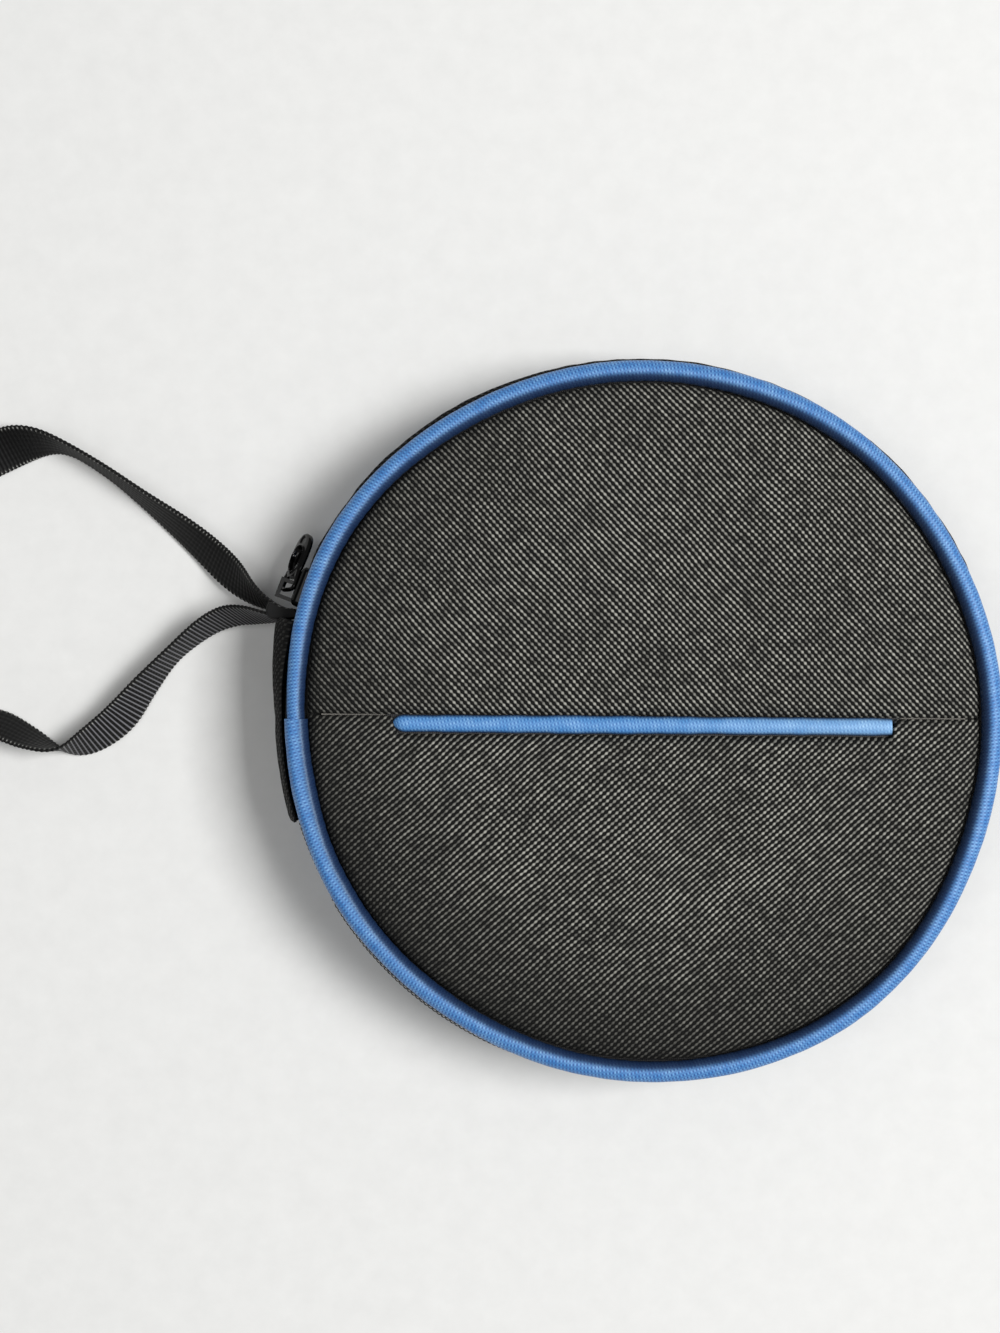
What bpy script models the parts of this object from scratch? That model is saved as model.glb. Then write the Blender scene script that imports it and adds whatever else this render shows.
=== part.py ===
# Round zipped disc wallet: two padded shells joined by a cloth spine, closed by a
# zip that runs round the wall, with a front pocket, a wrist strap and sleeves inside.
# Millimetres in the constants, metres in the scene, +Z up, origin under the centre.

import math

import bmesh
import bpy
from mathutils import Matrix, Vector

# Overall
mm = 0.001
case_height = 30.0
mid_height = case_height / 2
cloth_gap = 0.3

# Piping round each shell
piping_ring_radius = 74.5
piping_radius = 2.5

# Padded panels
panel_thickness = 2.0
panel_flat_radius = 56.0
panel_shoulder_drop = 1.1
panel_edge_drop = 2.7
panel_top_drop = 0.3

# Front pocket
pocket_slit_length = 106.8
pocket_slit_width = 3.8
pocket_slit_y = -1.3
pocket_slit_tilt = -0.43
pocket_seam_y = 0.6
pocket_piping_height = 1.9
pocket_lining_thickness = 0.5
pocket_lining_margin = 0.5

# Stiffener boards and linings
board_thickness = 2.0
board_margin = 2.2
lining_thickness = 0.5
lining_clearance = 0.9

# Cloth walls between the piping and the zip
wall_thickness = 0.7
wall_draw_in = 2.05
wall_bend_reach = 2.6

# Zip tapes and chain
tape_ring_reach = 1.85
tape_thickness = 0.5
tape_inner_reach = 1.2
tape_outer_reach = 8.0
tape_end_lap = 0.8
coil_height = 2.1
coil_bump = 0.5
coil_reach = 2.2
coil_gap = 0.3
coil_amplitude = 0.35
coil_pitch = 3.6
coil_parting = 1.25

# Angles round the case, in degrees from +X
spine_start = 164.3
spine_end = 196.5
seam_clearance = 0.45
slider_angle = 158.8
slider_travel = -313.0
parked_reach = 4.4

# Slider
slider_length = 9.0
slider_height = 8.4
slider_back_reach = 1.5
slider_plate_thickness = 1.2
slider_channel_clearance = 0.7
slider_top_thickness = 1.3
slider_channel_reach = 2.7
slider_mouth_reach = 3.9
slider_neck_reach = 0.85
bridge_width = 1.4
bridge_length = 4.6
bridge_hole_length = 2.9
bridge_hole_rise = 0.35
bridge_hole_height = 2.75
bridge_wall = 0.85

# Pull
pull_offset = 1.7
pull_seat_rise = 1.85
pull_length = 13.6
pull_eye_width = 5.9
pull_eye_wire = 1.0
pull_tab_width = 6.2
pull_tab_thickness = 1.5
pull_eye_length = 3.4
pull_roll = 35.0
pull_droop = 17.0
pull_lean = 6.0
grip_start = 4.9
grip_end = 10.0
grip_half_width = 1.5
grip_depth = 0.5
dimple_start = 10.9
dimple_end = 12.6
dimple_half_width = 0.9
dimple_depth = 0.35

# Spine
spine_proud = 1.0
spine_bow_drop = 0.2
spine_bow_reach = 6.5
spine_edge_drop = 1.0
spine_thickness = 1.6
spine_lining_gap = 0.8
spine_margin = 3.6
spine_lining_margin = 6.4
fold_axis_inset = 1.0
fold_axis_z = 4.0

# Disc sleeves
leaf_count = 6
leaf_thickness = 0.5
leaf_gap = 0.5
leaf_margin = 3.5
leaf_bound_x = -54.0
binding_depth = 4.0
binding_tape_thickness = 1.6

# Wrist strap
strap_width = 10.0
strap_thickness = 1.0
strap_steps = 84
strap_floor_gap = 0.1

# Facets round a full circle
ring_steps = 84
panel_steps = 64

# Sizes that follow from the ones above
front_panel_top = case_height - panel_top_drop
panel_edge_radius = piping_ring_radius - piping_radius - cloth_gap
board_radius = panel_edge_radius - board_margin
leaf_radius = board_radius - leaf_margin
tape_radius = piping_ring_radius + tape_ring_reach
wall_zip_radius = tape_radius + tape_thickness / 2 + cloth_gap + wall_thickness / 2
wall_top_radius = wall_zip_radius - wall_draw_in
coil_inner_radius = tape_radius + tape_thickness / 2 + cloth_gap
coil_outer_radius = coil_inner_radius + coil_height
slider_inner_radius = tape_radius - tape_thickness / 2 - slider_back_reach
slider_channel_radius = coil_outer_radius + slider_channel_clearance
slider_outer_radius = slider_channel_radius + slider_top_thickness
bridge_hole_radius = slider_outer_radius + bridge_hole_rise
pull_radius = slider_outer_radius + pull_seat_rise
spine_outer_radius = coil_outer_radius + spine_proud
spine_edge_radius = spine_outer_radius - spine_edge_drop
fold_axis_x = -(coil_outer_radius - fold_axis_inset)
spine_lining_radius = spine_outer_radius - spine_thickness - spine_lining_gap


def clear_scene():
    for item in list(bpy.data.objects):
        bpy.data.objects.remove(item, do_unlink=True)
    for group in list(bpy.data.collections):
        bpy.data.collections.remove(group)


def make_collection(name):
    group = bpy.data.collections.new(name)
    bpy.context.scene.collection.children.link(group)
    return group


def make_material(name, colour, roughness, metallic=0.0):
    material = bpy.data.materials.new(name)
    material.use_nodes = True
    shader = material.node_tree.nodes["Principled BSDF"]
    shader.inputs["Base Color"].default_value = (*colour, 1.0)
    shader.inputs["Roughness"].default_value = roughness
    shader.inputs["Metallic"].default_value = metallic
    material.diffuse_color = (*colour, 1.0)
    return material


def add_object(name, mesh, group, material=None):
    item = bpy.data.objects.new(name, mesh)
    group.objects.link(item)
    if material:
        item.data.materials.append(material)
    return item


def mesh_from(name, bm):
    mesh = bpy.data.meshes.new(name)
    bmesh.ops.recalc_face_normals(bm, faces=bm.faces)
    bm.to_mesh(mesh)
    bm.free()
    return mesh


def smooth(item, angle=40.0):
    item.data.shade_smooth()
    item.data.set_sharp_from_angle(angle=math.radians(angle))


# Profiles are (radius, height) pairs, given from the top down their outer side.
def turned(name, profile, group, material, start=0.0, sweep=360.0, steps=ring_steps, closed=False):
    bm = bmesh.new()
    turn = Matrix.Rotation(math.radians(start), 3, "Z")
    verts = [bm.verts.new(turn @ Vector((r * mm, 0.0, z * mm))) for r, z in profile]
    for a, b in zip(verts, verts[1:]):
        bm.edges.new((a, b))
    if closed:
        bm.edges.new((verts[-1], verts[0]))
    mesh = bpy.data.meshes.new(name)
    bm.to_mesh(mesh)
    bm.free()
    item = add_object(name, mesh, group, material)
    screw = item.modifiers.new("turn", "SCREW")
    screw.axis = "Z"
    screw.angle = math.radians(sweep)
    screw.steps = steps
    screw.render_steps = steps
    screw.use_merge_vertices = True
    screw.merge_threshold = 0.00001
    screw.use_smooth_shade = True
    return item


def thicken(item, thickness, offset=0.0):
    solidify = item.modifiers.new("thickness", "SOLIDIFY")
    solidify.thickness = thickness * mm
    solidify.offset = offset
    solidify.use_even_offset = True
    return item


def round_edges(item, width, segments=2, angle=30.0):
    bevel = item.modifiers.new("round", "BEVEL")
    bevel.width = width * mm
    bevel.segments = segments
    bevel.limit_method = "ANGLE"
    bevel.angle_limit = math.radians(angle)
    return item


# The lower shell is the upper shell mirrored about the middle of the case.
def mirrored(profile):
    return [(r, case_height - z) for r, z in reversed(profile)]


def box_mesh(name, low, high):
    bm = bmesh.new()
    size = [(b - a) * mm for a, b in zip(low, high)]
    middle = [(a + b) / 2 * mm for a, b in zip(low, high)]
    bmesh.ops.create_cube(bm, size=1.0)
    bmesh.ops.scale(bm, vec=size, verts=bm.verts)
    bmesh.ops.translate(bm, vec=middle, verts=bm.verts)
    return mesh_from(name, bm)


def add_cutter(name, mesh, group):
    cutter = add_object(name, mesh, group)
    cutter.hide_render = True
    cutter.display_type = "WIRE"
    return cutter


def boolean(item, cutter, operation="DIFFERENCE"):
    step = item.modifiers.new(operation.lower(), "BOOLEAN")
    step.operation = operation
    step.solver = "EXACT"
    step.object = cutter
    return step


# A loft joins closed sections of equal length and caps both ends.
def loft(name, sections):
    bm = bmesh.new()
    rows = [[bm.verts.new(point) for point in section] for section in sections]
    count = len(rows[0])
    for row, following in zip(rows, rows[1:]):
        for i in range(count):
            j = (i + 1) % count
            bm.faces.new((row[i], row[j], following[j], following[i]))
    bm.faces.new(rows[0])
    bm.faces.new(list(reversed(rows[-1])))
    return mesh_from(name, bm)


def around(radius, height, degrees):
    angle = math.radians(degrees)
    return Vector((radius * math.cos(angle), radius * math.sin(angle), height)) * mm


def ease(value):
    value = min(1.0, max(0.0, value))
    return value * value * (3.0 - 2.0 * value)


clear_scene()
case = make_collection("cd_storage_case")
cutters = make_collection("cutters")

weave_black = make_material("black_weave", (0.035, 0.035, 0.034), 0.85)
piping_blue = make_material("blue_piping_cloth", (0.08, 0.24, 0.62), 0.65)
slit_blue = make_material("light_blue_piping_cloth", (0.14, 0.36, 0.72), 0.65)
board_grey = make_material("grey_board", (0.30, 0.29, 0.27), 0.9)
lining_black = make_material("black_lining_cloth", (0.02, 0.02, 0.022), 0.8)
zip_black = make_material("black_zip_nylon", (0.015, 0.015, 0.017), 0.45)
metal_black = make_material("black_enamelled_zinc", (0.01, 0.01, 0.01), 0.25, 0.3)
sleeve_clear = make_material("frosted_sleeve_film", (0.62, 0.64, 0.66), 0.4)
webbing_black = make_material("black_webbing", (0.03, 0.03, 0.03), 0.8)

# Heights of the upper shell, worked down from its outer face.
pocket_top = front_panel_top - panel_thickness - cloth_gap
board_top = pocket_top - pocket_lining_thickness - cloth_gap
board_bottom = board_top - board_thickness
lining_top = board_bottom - cloth_gap
lining_bottom = lining_top - lining_thickness
piping_height = case_height - piping_radius
back_panel_thickness = case_height - board_top - cloth_gap
wall_top = piping_height - piping_radius - cloth_gap
wall_bend = wall_top - wall_bend_reach
wall_foot = mid_height + slider_height / 2 + 0.4
first_angle = spine_start - seam_clearance
last_angle = spine_end + seam_clearance - 360.0
wall_sweep = last_angle - first_angle
pocket_lining_radius = panel_flat_radius - pocket_lining_margin
lining_radius = wall_top_radius - lining_clearance
parked_start = slider_angle - parked_reach
far_parked_end = slider_angle + slider_travel + parked_reach


# Padded panels: flat in the middle, rounding down to the piping.
def panel_profile(top, thickness):
    edge = top - panel_edge_drop
    shoulder = panel_flat_radius + (panel_edge_radius - panel_flat_radius) * 0.62
    rounding = panel_flat_radius + (panel_edge_radius - panel_flat_radius) * 0.3
    outer = [
        (0.0, top),
        (panel_flat_radius, top),
        (rounding, top - panel_shoulder_drop * 0.22),
        (shoulder, top - panel_shoulder_drop * 0.7),
        (panel_edge_radius - 1.6, top - panel_shoulder_drop * 1.5),
        (panel_edge_radius, edge),
    ]
    inner = [
        (panel_edge_radius - 0.7, edge - 0.55),
        (panel_edge_radius - 3.0, top - max(thickness, panel_edge_drop) + 0.15),
        (panel_flat_radius, top - thickness),
        (0.0, top - thickness),
    ]
    return outer + inner


back_panel = turned(
    "back_panel",
    mirrored(panel_profile(case_height, back_panel_thickness)),
    case,
    weave_black,
    steps=panel_steps,
)

# The front is two half panels that meet on a seam, with the pocket slit between them.
seam_gap = cloth_gap
slit_turn = Matrix.Rotation(math.radians(pocket_slit_tilt), 4, "Z")
slit_low = pocket_slit_y - pocket_slit_width / 2
slit_high = pocket_slit_y + pocket_slit_width / 2
half_slit = pocket_slit_length / 2
panel_box = case_height * 3


def half_panel(name, keep_upper):
    item = turned(name, panel_profile(front_panel_top, panel_thickness), case, weave_black, steps=panel_steps)
    if keep_upper:
        low = (-panel_box, -panel_box, 0.0)
        high = (panel_box, pocket_seam_y + seam_gap / 2, case_height * 2)
    else:
        low = (-panel_box, pocket_seam_y - seam_gap / 2, 0.0)
        high = (panel_box, panel_box, case_height * 2)
    side = add_cutter(name + "_side", box_mesh(name + "_side", low, high), cutters)
    side.matrix_world = slit_turn
    boolean(item, side)
    slot_low = (-half_slit - cloth_gap, slit_low - cloth_gap, 0.0)
    slot_high = (half_slit + cloth_gap, slit_high + cloth_gap, case_height * 2)
    slot = add_cutter(name + "_slot", box_mesh(name + "_slot", slot_low, slot_high), cutters)
    slot.matrix_world = slit_turn
    boolean(item, slot)
    return item


front_panel = half_panel("front_panel", True)
pocket_panel = half_panel("pocket_panel", False)

# Piping roll that binds the pocket's mouth.
slit_piping_top = front_panel_top + 0.25
slit_piping_bottom = slit_piping_top - pocket_piping_height
pocket_piping = add_object(
    "pocket_piping",
    box_mesh(
        "pocket_piping",
        (-half_slit, slit_low, slit_piping_bottom),
        (half_slit, slit_high, slit_piping_top),
    ),
    case,
    slit_blue,
)
pocket_piping.matrix_world = slit_turn
round_edges(pocket_piping, 0.8, 3)

# Pocket lining hangs behind the slit, the width of the pocket.
pocket_lining = turned(
    "pocket_lining",
    [
        (0.0, pocket_top),
        (pocket_lining_radius, pocket_top),
        (pocket_lining_radius, pocket_top - pocket_lining_thickness),
        (0.0, pocket_top - pocket_lining_thickness),
    ],
    case,
    lining_black,
    steps=48,
)


# Each shell has its piping, board, lining, wall, tape and coil.
def shell_profile(profile, upper):
    return profile if upper else mirrored(profile)


def make_shell(prefix, upper):
    height = piping_height if upper else case_height - piping_height
    bpy.ops.mesh.primitive_torus_add(
        major_radius=piping_ring_radius * mm,
        minor_radius=piping_radius * mm,
        major_segments=72,
        minor_segments=8,
        location=(0.0, 0.0, height * mm),
    )
    piping = bpy.context.object
    piping.name = prefix + "_piping"
    piping.data.materials.append(piping_blue)
    piping.data.shade_smooth()
    for group in list(piping.users_collection):
        group.objects.unlink(piping)
    case.objects.link(piping)

    board_profile = [
        (0.0, board_top),
        (board_radius, board_top),
        (board_radius, board_bottom),
        (0.0, board_bottom),
    ]
    turned(
        prefix + "_board",
        shell_profile(board_profile, upper),
        case,
        board_grey,
        steps=48,
    )
    lining_profile = [
        (0.0, lining_top),
        (lining_radius, lining_top),
        (lining_radius, lining_bottom),
        (0.0, lining_bottom),
    ]
    turned(
        prefix + "_lining",
        shell_profile(lining_profile, upper),
        case,
        lining_black,
        steps=48,
    )
    wall_profile = [
        (wall_top_radius, wall_top),
        (wall_zip_radius, wall_bend),
        (wall_zip_radius, wall_foot),
    ]
    wall = turned(
        prefix + "_wall",
        shell_profile(wall_profile, upper),
        case,
        weave_black,
        start=first_angle,
        sweep=wall_sweep,
        steps=48,
    )
    thicken(wall, wall_thickness)

    # The upper tape leaves out both places where the slider stands at its stops.
    tape_profile = [
        (tape_radius, mid_height + tape_outer_reach - 1.2),
        (tape_radius, mid_height + tape_inner_reach),
    ]
    tape_start = parked_start - 0.3 if upper else first_angle
    tape_end = far_parked_end + 0.3 if upper else last_angle
    tape = turned(
        prefix + "_zip_tape",
        shell_profile(tape_profile, upper),
        case,
        zip_black,
        start=tape_start,
        sweep=tape_end - tape_start,
        steps=48,
    )
    thicken(tape, tape_thickness)

    # Coil teeth mesh across the gap: where one side reaches over, the other draws back.
    side = 1.0 if upper else -1.0
    pitch_angle = math.degrees(coil_pitch / coil_outer_radius)
    tooth_angle = pitch_angle / 2
    sections = []
    first_tooth = math.ceil((first_angle - tape_start) / tooth_angle - 0.001)
    last_tooth = math.floor((first_angle - tape_end) / tooth_angle + 0.001)
    for tooth in range(first_tooth, last_tooth + 1):
        angle = first_angle - tooth * tooth_angle
        lead = 1.0 if tooth % 2 == 0 else -1.0
        parting = coil_parting * ease((angle - slider_angle) / 2.4)
        inner_edge = mid_height + side * (coil_gap / 2 + parting) + lead * coil_amplitude
        outer_edge = mid_height + side * (coil_reach + parting)
        bump = coil_bump if lead * side < 0 else 0.0
        outer = coil_outer_radius - coil_bump + bump
        ring = [
            around(coil_inner_radius, outer_edge, angle),
            around(outer, outer_edge - side * 0.5, angle),
            around(outer, inner_edge, angle),
            around(coil_inner_radius, inner_edge, angle),
        ]
        sections.append(ring)
    add_object(prefix + "_zip_coil", loft(prefix + "_zip_coil", sections), case, zip_black)


make_shell("back", False)
make_shell("front", True)


# Short tape ends, sewn down at the spine seams, that the slider stands over at each stop.
def tape_end(name, start, finish):
    inner = tape_radius - tape_thickness / 2
    outer = tape_radius + tape_thickness / 2
    low = mid_height + tape_inner_reach
    bead = low + 1.0
    high = wall_foot + tape_end_lap
    sections = []
    for k in range(6):
        angle = start + (finish - start) * k / 5
        sections.append(
            [
                around(inner, low, angle),
                around(coil_outer_radius - 0.6, low, angle),
                around(coil_outer_radius - 0.6, bead, angle),
                around(outer, bead, angle),
                around(outer, high, angle),
                around(inner, high, angle),
            ]
        )
    return add_object(name, loft(name, sections), case, zip_black)


tape_end("zip_end_upper", first_angle, parked_start)
tape_end("zip_end_lower", last_angle, far_parked_end)

# Slider: two plates joined by the neck that parts the coils, with a bridge for the pull.
slider_half = slider_length / 2
slider_low = mid_height - slider_height / 2
slider_high = mid_height + slider_height / 2
channel_inner = slider_inner_radius + slider_plate_thickness


def slider_outline_mesh():
    reach = slider_channel_reach
    mouth = slider_mouth_reach
    neck = slider_neck_reach
    end = slider_half + 1.0
    points = [
        (-end, -reach),
        (0.6, -reach),
        (end, -mouth),
        (end, -neck),
        (1.1, 0.0),
        (end, neck),
        (end, mouth),
        (0.6, reach),
        (-end, reach),
    ]
    bm = bmesh.new()
    low = [bm.verts.new(Vector((channel_inner, t, mid_height + z)) * mm) for t, z in points]
    face = bm.faces.new(low)
    made = bmesh.ops.extrude_face_region(bm, geom=[face])
    moved = [v for v in made["geom"] if isinstance(v, bmesh.types.BMVert)]
    depth = (slider_channel_radius - channel_inner) * mm
    bmesh.ops.translate(bm, vec=(depth, 0.0, 0.0), verts=moved)
    return mesh_from("slider_channel", bm)


slider = add_object(
    "zip_slider",
    box_mesh(
        "zip_slider",
        (slider_inner_radius, -slider_half, slider_low),
        (slider_outer_radius, slider_half, slider_high),
    ),
    case,
    metal_black,
)
round_edges(slider, 1.1, 3)
bridge_outer = bridge_hole_radius + bridge_hole_height + bridge_wall
bridge_start = pull_offset - bridge_length / 2
bridge = add_cutter(
    "slider_bridge",
    box_mesh(
        "slider_bridge",
        (slider_outer_radius - 0.5, bridge_start, mid_height - bridge_width / 2),
        (bridge_outer, bridge_start + bridge_length, mid_height + bridge_width / 2),
    ),
    cutters,
)
channel = add_cutter("slider_channel", slider_outline_mesh(), cutters)
slot_outer = tape_radius + tape_thickness / 2 + cloth_gap
tape_slot = add_cutter(
    "slider_tape_slot",
    box_mesh(
        "slider_tape_slot",
        (channel_inner - 0.01, -slider_half - 1.0, mid_height + slider_neck_reach + 0.05),
        (slot_outer, slider_half + 1.0, slider_high + 1.0),
    ),
    cutters,
)
tape_slot_low = add_cutter(
    "slider_tape_slot_low",
    box_mesh(
        "slider_tape_slot_low",
        (channel_inner - 0.01, -slider_half - 1.0, slider_low - 1.0),
        (slot_outer, slider_half + 1.0, mid_height - slider_neck_reach - 0.05),
    ),
    cutters,
)
hole_start = bridge_start + (bridge_length - bridge_hole_length) / 2
bridge_hole = add_cutter(
    "slider_bridge_hole",
    box_mesh(
        "slider_bridge_hole",
        (bridge_hole_radius, hole_start, slider_low),
        (bridge_hole_radius + bridge_hole_height, hole_start + bridge_hole_length, slider_high),
    ),
    cutters,
)
slider_turn = Matrix.Rotation(math.radians(slider_angle), 4, "Z")
boolean(slider, bridge, "UNION")
for cutter in (channel, tape_slot, tape_slot_low, bridge_hole):
    boolean(slider, cutter)
for item in (slider, bridge, channel, tape_slot, tape_slot_low, bridge_hole):
    item.matrix_world = slider_turn

# Pull: a wire eye through the bridge and a tapered tab with a sunk grip.
# Its own axes: x along the tab, z along the eye bar, y out of its face.
pull_angle = slider_angle + math.degrees(pull_offset / pull_radius)
pull_seat = Matrix.Translation(around(pull_radius, mid_height, pull_angle))
pull_aim = Matrix.Rotation(math.radians(pull_angle - 90.0), 4, "Z")
pull_rest = (
    Matrix.Rotation(math.radians(pull_lean), 4, "Z")
    @ Matrix.Rotation(math.radians(pull_droop), 4, "Y")
    @ Matrix.Rotation(math.radians(pull_roll), 4, "X")
)
pull_world = pull_seat @ pull_aim @ pull_rest


def tab_mesh():
    half_eye = pull_eye_width / 2
    half_tab = pull_tab_width / 2
    outline = [
        (pull_eye_length, -half_eye + 0.6),
        (pull_eye_length + 2.2, -half_eye + 0.1),
        (pull_length * 0.58, -half_tab + 0.1),
        (pull_length * 0.8, -half_tab),
        (pull_length * 0.93, -half_tab * 0.72),
        (pull_length, -half_tab * 0.3),
    ]
    outline += [(x, -z) for x, z in reversed(outline)]
    bm = bmesh.new()
    base = [bm.verts.new(Vector((x, -pull_tab_thickness / 2, z)) * mm) for x, z in outline]
    face = bm.faces.new(base)
    made = bmesh.ops.extrude_face_region(bm, geom=[face])
    moved = [v for v in made["geom"] if isinstance(v, bmesh.types.BMVert)]
    bmesh.ops.translate(bm, vec=(0.0, pull_tab_thickness * mm, 0.0), verts=moved)
    return mesh_from("zip_pull", bm)


def eye_mesh():
    half = pull_eye_width / 2 - pull_eye_wire / 2
    corner = pull_eye_wire
    end = pull_eye_length + 1.3
    path = [(end, half - 0.1), (corner, half), (0.0, half - corner)]
    path += [(x, -z) for x, z in reversed(path)]
    curve = bpy.data.curves.new("pull_eye", "CURVE")
    curve.dimensions = "3D"
    spline = curve.splines.new("POLY")
    spline.points.add(len(path) - 1)
    for point, (x, z) in zip(spline.points, path):
        point.co = (x * mm, 0.0, z * mm, 1.0)
    curve.bevel_depth = pull_eye_wire / 2 * mm
    curve.bevel_resolution = 2
    curve.use_fill_caps = True
    holder = bpy.data.objects.new("pull_eye_curve", curve)
    cutters.objects.link(holder)
    graph = bpy.context.evaluated_depsgraph_get()
    mesh = bpy.data.meshes.new_from_object(holder.evaluated_get(graph))
    bpy.data.objects.remove(holder, do_unlink=True)
    bm = bmesh.new()
    bm.from_mesh(mesh)
    bmesh.ops.remove_doubles(bm, verts=bm.verts, dist=0.00001)
    return mesh_from("pull_eye", bm)


def grip_mesh(name, start, finish, half_width, depth):
    bm = bmesh.new()
    count = 12
    low = []
    for k in range(count):
        turn = 2.0 * math.pi * k / count
        x = (start + finish) / 2 + (finish - start) / 2 * math.cos(turn)
        z = half_width * math.sin(turn)
        low.append(bm.verts.new(Vector((x, pull_tab_thickness / 2 - depth, z)) * mm))
    face = bm.faces.new(low)
    made = bmesh.ops.extrude_face_region(bm, geom=[face])
    moved = [v for v in made["geom"] if isinstance(v, bmesh.types.BMVert)]
    bmesh.ops.translate(bm, vec=(0.0, (depth + 1.0) * mm, 0.0), verts=moved)
    return mesh_from(name, bm)


pull = add_object("zip_pull", tab_mesh(), case, metal_black)
round_edges(pull, 0.35, 2)
eye = add_cutter("pull_eye", eye_mesh(), cutters)
grip = add_cutter("pull_grip", grip_mesh("pull_grip", grip_start, grip_end, grip_half_width, grip_depth), cutters)
dimple_hollow = grip_mesh("pull_dimple", dimple_start, dimple_end, dimple_half_width, dimple_depth)
dimple = add_cutter("pull_dimple", dimple_hollow, cutters)
boolean(pull, eye, "UNION")
boolean(pull, grip)
boolean(pull, dimple)
for item in (pull, eye, grip, dimple):
    item.matrix_world = pull_world

# Spine: the wall between the shells where the zip stops, which folds at both edges.
spine_sweep = spine_end - spine_start
spine_profile = [
    (spine_edge_radius, case_height - spine_margin),
    (spine_outer_radius - spine_bow_drop, mid_height + spine_bow_reach),
    (spine_outer_radius, mid_height),
    (spine_outer_radius - spine_bow_drop, mid_height - spine_bow_reach),
    (spine_edge_radius, spine_margin),
]
spine = turned(
    "spine_panel",
    spine_profile,
    case,
    weave_black,
    start=spine_start,
    sweep=spine_sweep,
    steps=14,
)
thicken(spine, spine_thickness, -1.0)
spine_lining = turned(
    "spine_lining",
    [
        (spine_lining_radius, case_height - spine_lining_margin),
        (spine_lining_radius, spine_lining_margin),
    ],
    case,
    lining_black,
    start=spine_start + 0.4,
    sweep=spine_sweep - 0.8,
    steps=14,
)
thicken(spine_lining, lining_thickness, -1.0)

# Sleeves: round leaves cut straight at the bound edge, gathered in one bound block.
back_lining_top = case_height - lining_bottom
sleeve_bottom = back_lining_top + cloth_gap
sleeve_height = leaf_count * leaf_thickness + (leaf_count - 1) * leaf_gap
sleeve_low_x = leaf_bound_x - binding_depth
bound_angle = math.acos(sleeve_low_x / leaf_radius)
leaf_outline = []
for k in range(37):
    turn = -bound_angle + 2.0 * bound_angle * k / 36
    leaf_outline.append((leaf_radius * math.cos(turn), leaf_radius * math.sin(turn)))
bm = bmesh.new()
rim = [bm.verts.new(Vector((x, y, sleeve_bottom)) * mm) for x, y in leaf_outline]
leaf_face = bm.faces.new(rim)
raised = bmesh.ops.extrude_face_region(bm, geom=[leaf_face])
lifted = [v for v in raised["geom"] if isinstance(v, bmesh.types.BMVert)]
bmesh.ops.translate(bm, vec=(0.0, 0.0, sleeve_height * mm), verts=lifted)
sleeves = add_object("sleeve_pages", mesh_from("sleeve_pages", bm), case, sleeve_clear)
for k in range(leaf_count - 1):
    low = sleeve_bottom + (k + 1) * leaf_thickness + k * leaf_gap
    slot_name = "leaf_gap_%d" % k
    slot_mesh = box_mesh(
        slot_name,
        (leaf_bound_x, -leaf_radius * 2, low),
        (leaf_radius * 2, leaf_radius * 2, low + leaf_gap),
    )
    boolean(sleeves, add_cutter(slot_name, slot_mesh, cutters))

# Binding tape that holds the sleeves' bound edge down to the back lining.
binding_half = leaf_radius * math.sin(bound_angle)
binding = add_object(
    "sleeve_binding",
    box_mesh(
        "sleeve_binding",
        (
            sleeve_low_x - cloth_gap - binding_tape_thickness,
            -binding_half,
            sleeve_bottom,
        ),
        (sleeve_low_x - cloth_gap, binding_half, sleeve_bottom + sleeve_height),
    ),
    case,
    lining_black,
)
round_edges(binding, 0.4, 2)

# Wrist strap: flat webbing sewn into the seam by both ends, lying as a loose loop.
# Each route point is x, y, height of the middle, and lean of the width from upright.
strap_route = [
    (-76.5, 23.75, 15.0, 0.0),
    (-78.6, 24.1, 14.9, 0.0),
    (-82.4, 26.0, 13.6, 8.0),
    (-87.0, 28.8, 10.8, 22.0),
    (-91.5, 32.4, 7.6, 32.0),
    (-96.9, 37.4, 5.4, 30.0),
    (-102.3, 42.1, 5.3, 24.0),
    (-110.7, 48.8, 5.5, 12.0),
    (-119.9, 55.6, 5.6, 6.0),
    (-129.2, 60.9, 5.5, 8.0),
    (-136.7, 62.0, 4.4, 40.0),
    (-144.2, 60.0, 1.9, 76.0),
    (-156.0, 53.5, 1.0, 86.0),
    (-168.0, 42.0, 1.4, 78.0),
    (-175.5, 27.0, 3.4, 58.0),
    (-175.5, 12.0, 4.9, 36.0),
    (-168.0, 2.0, 5.2, 30.0),
    (-157.0, -1.6, 5.0, 34.0),
    (-145.5, -1.2, 4.7, 36.0),
    (-137.5, -4.6, 4.9, 26.0),
    (-130.9, -7.2, 5.6, 2.0),
    (-124.6, -6.0, 5.2, -30.0),
    (-117.0, -0.6, 4.9, -42.0),
    (-111.0, 6.8, 5.2, -28.0),
    (-104.9, 13.8, 5.5, -16.0),
    (-97.4, 20.0, 6.2, -22.0),
    (-91.6, 22.6, 8.0, -26.0),
    (-86.4, 23.0, 11.0, -20.0),
    (-81.4, 22.6, 13.9, -8.0),
    (-78.6, 22.45, 14.9, 0.0),
    (-76.9, 22.45, 15.0, 0.0),
]


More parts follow.
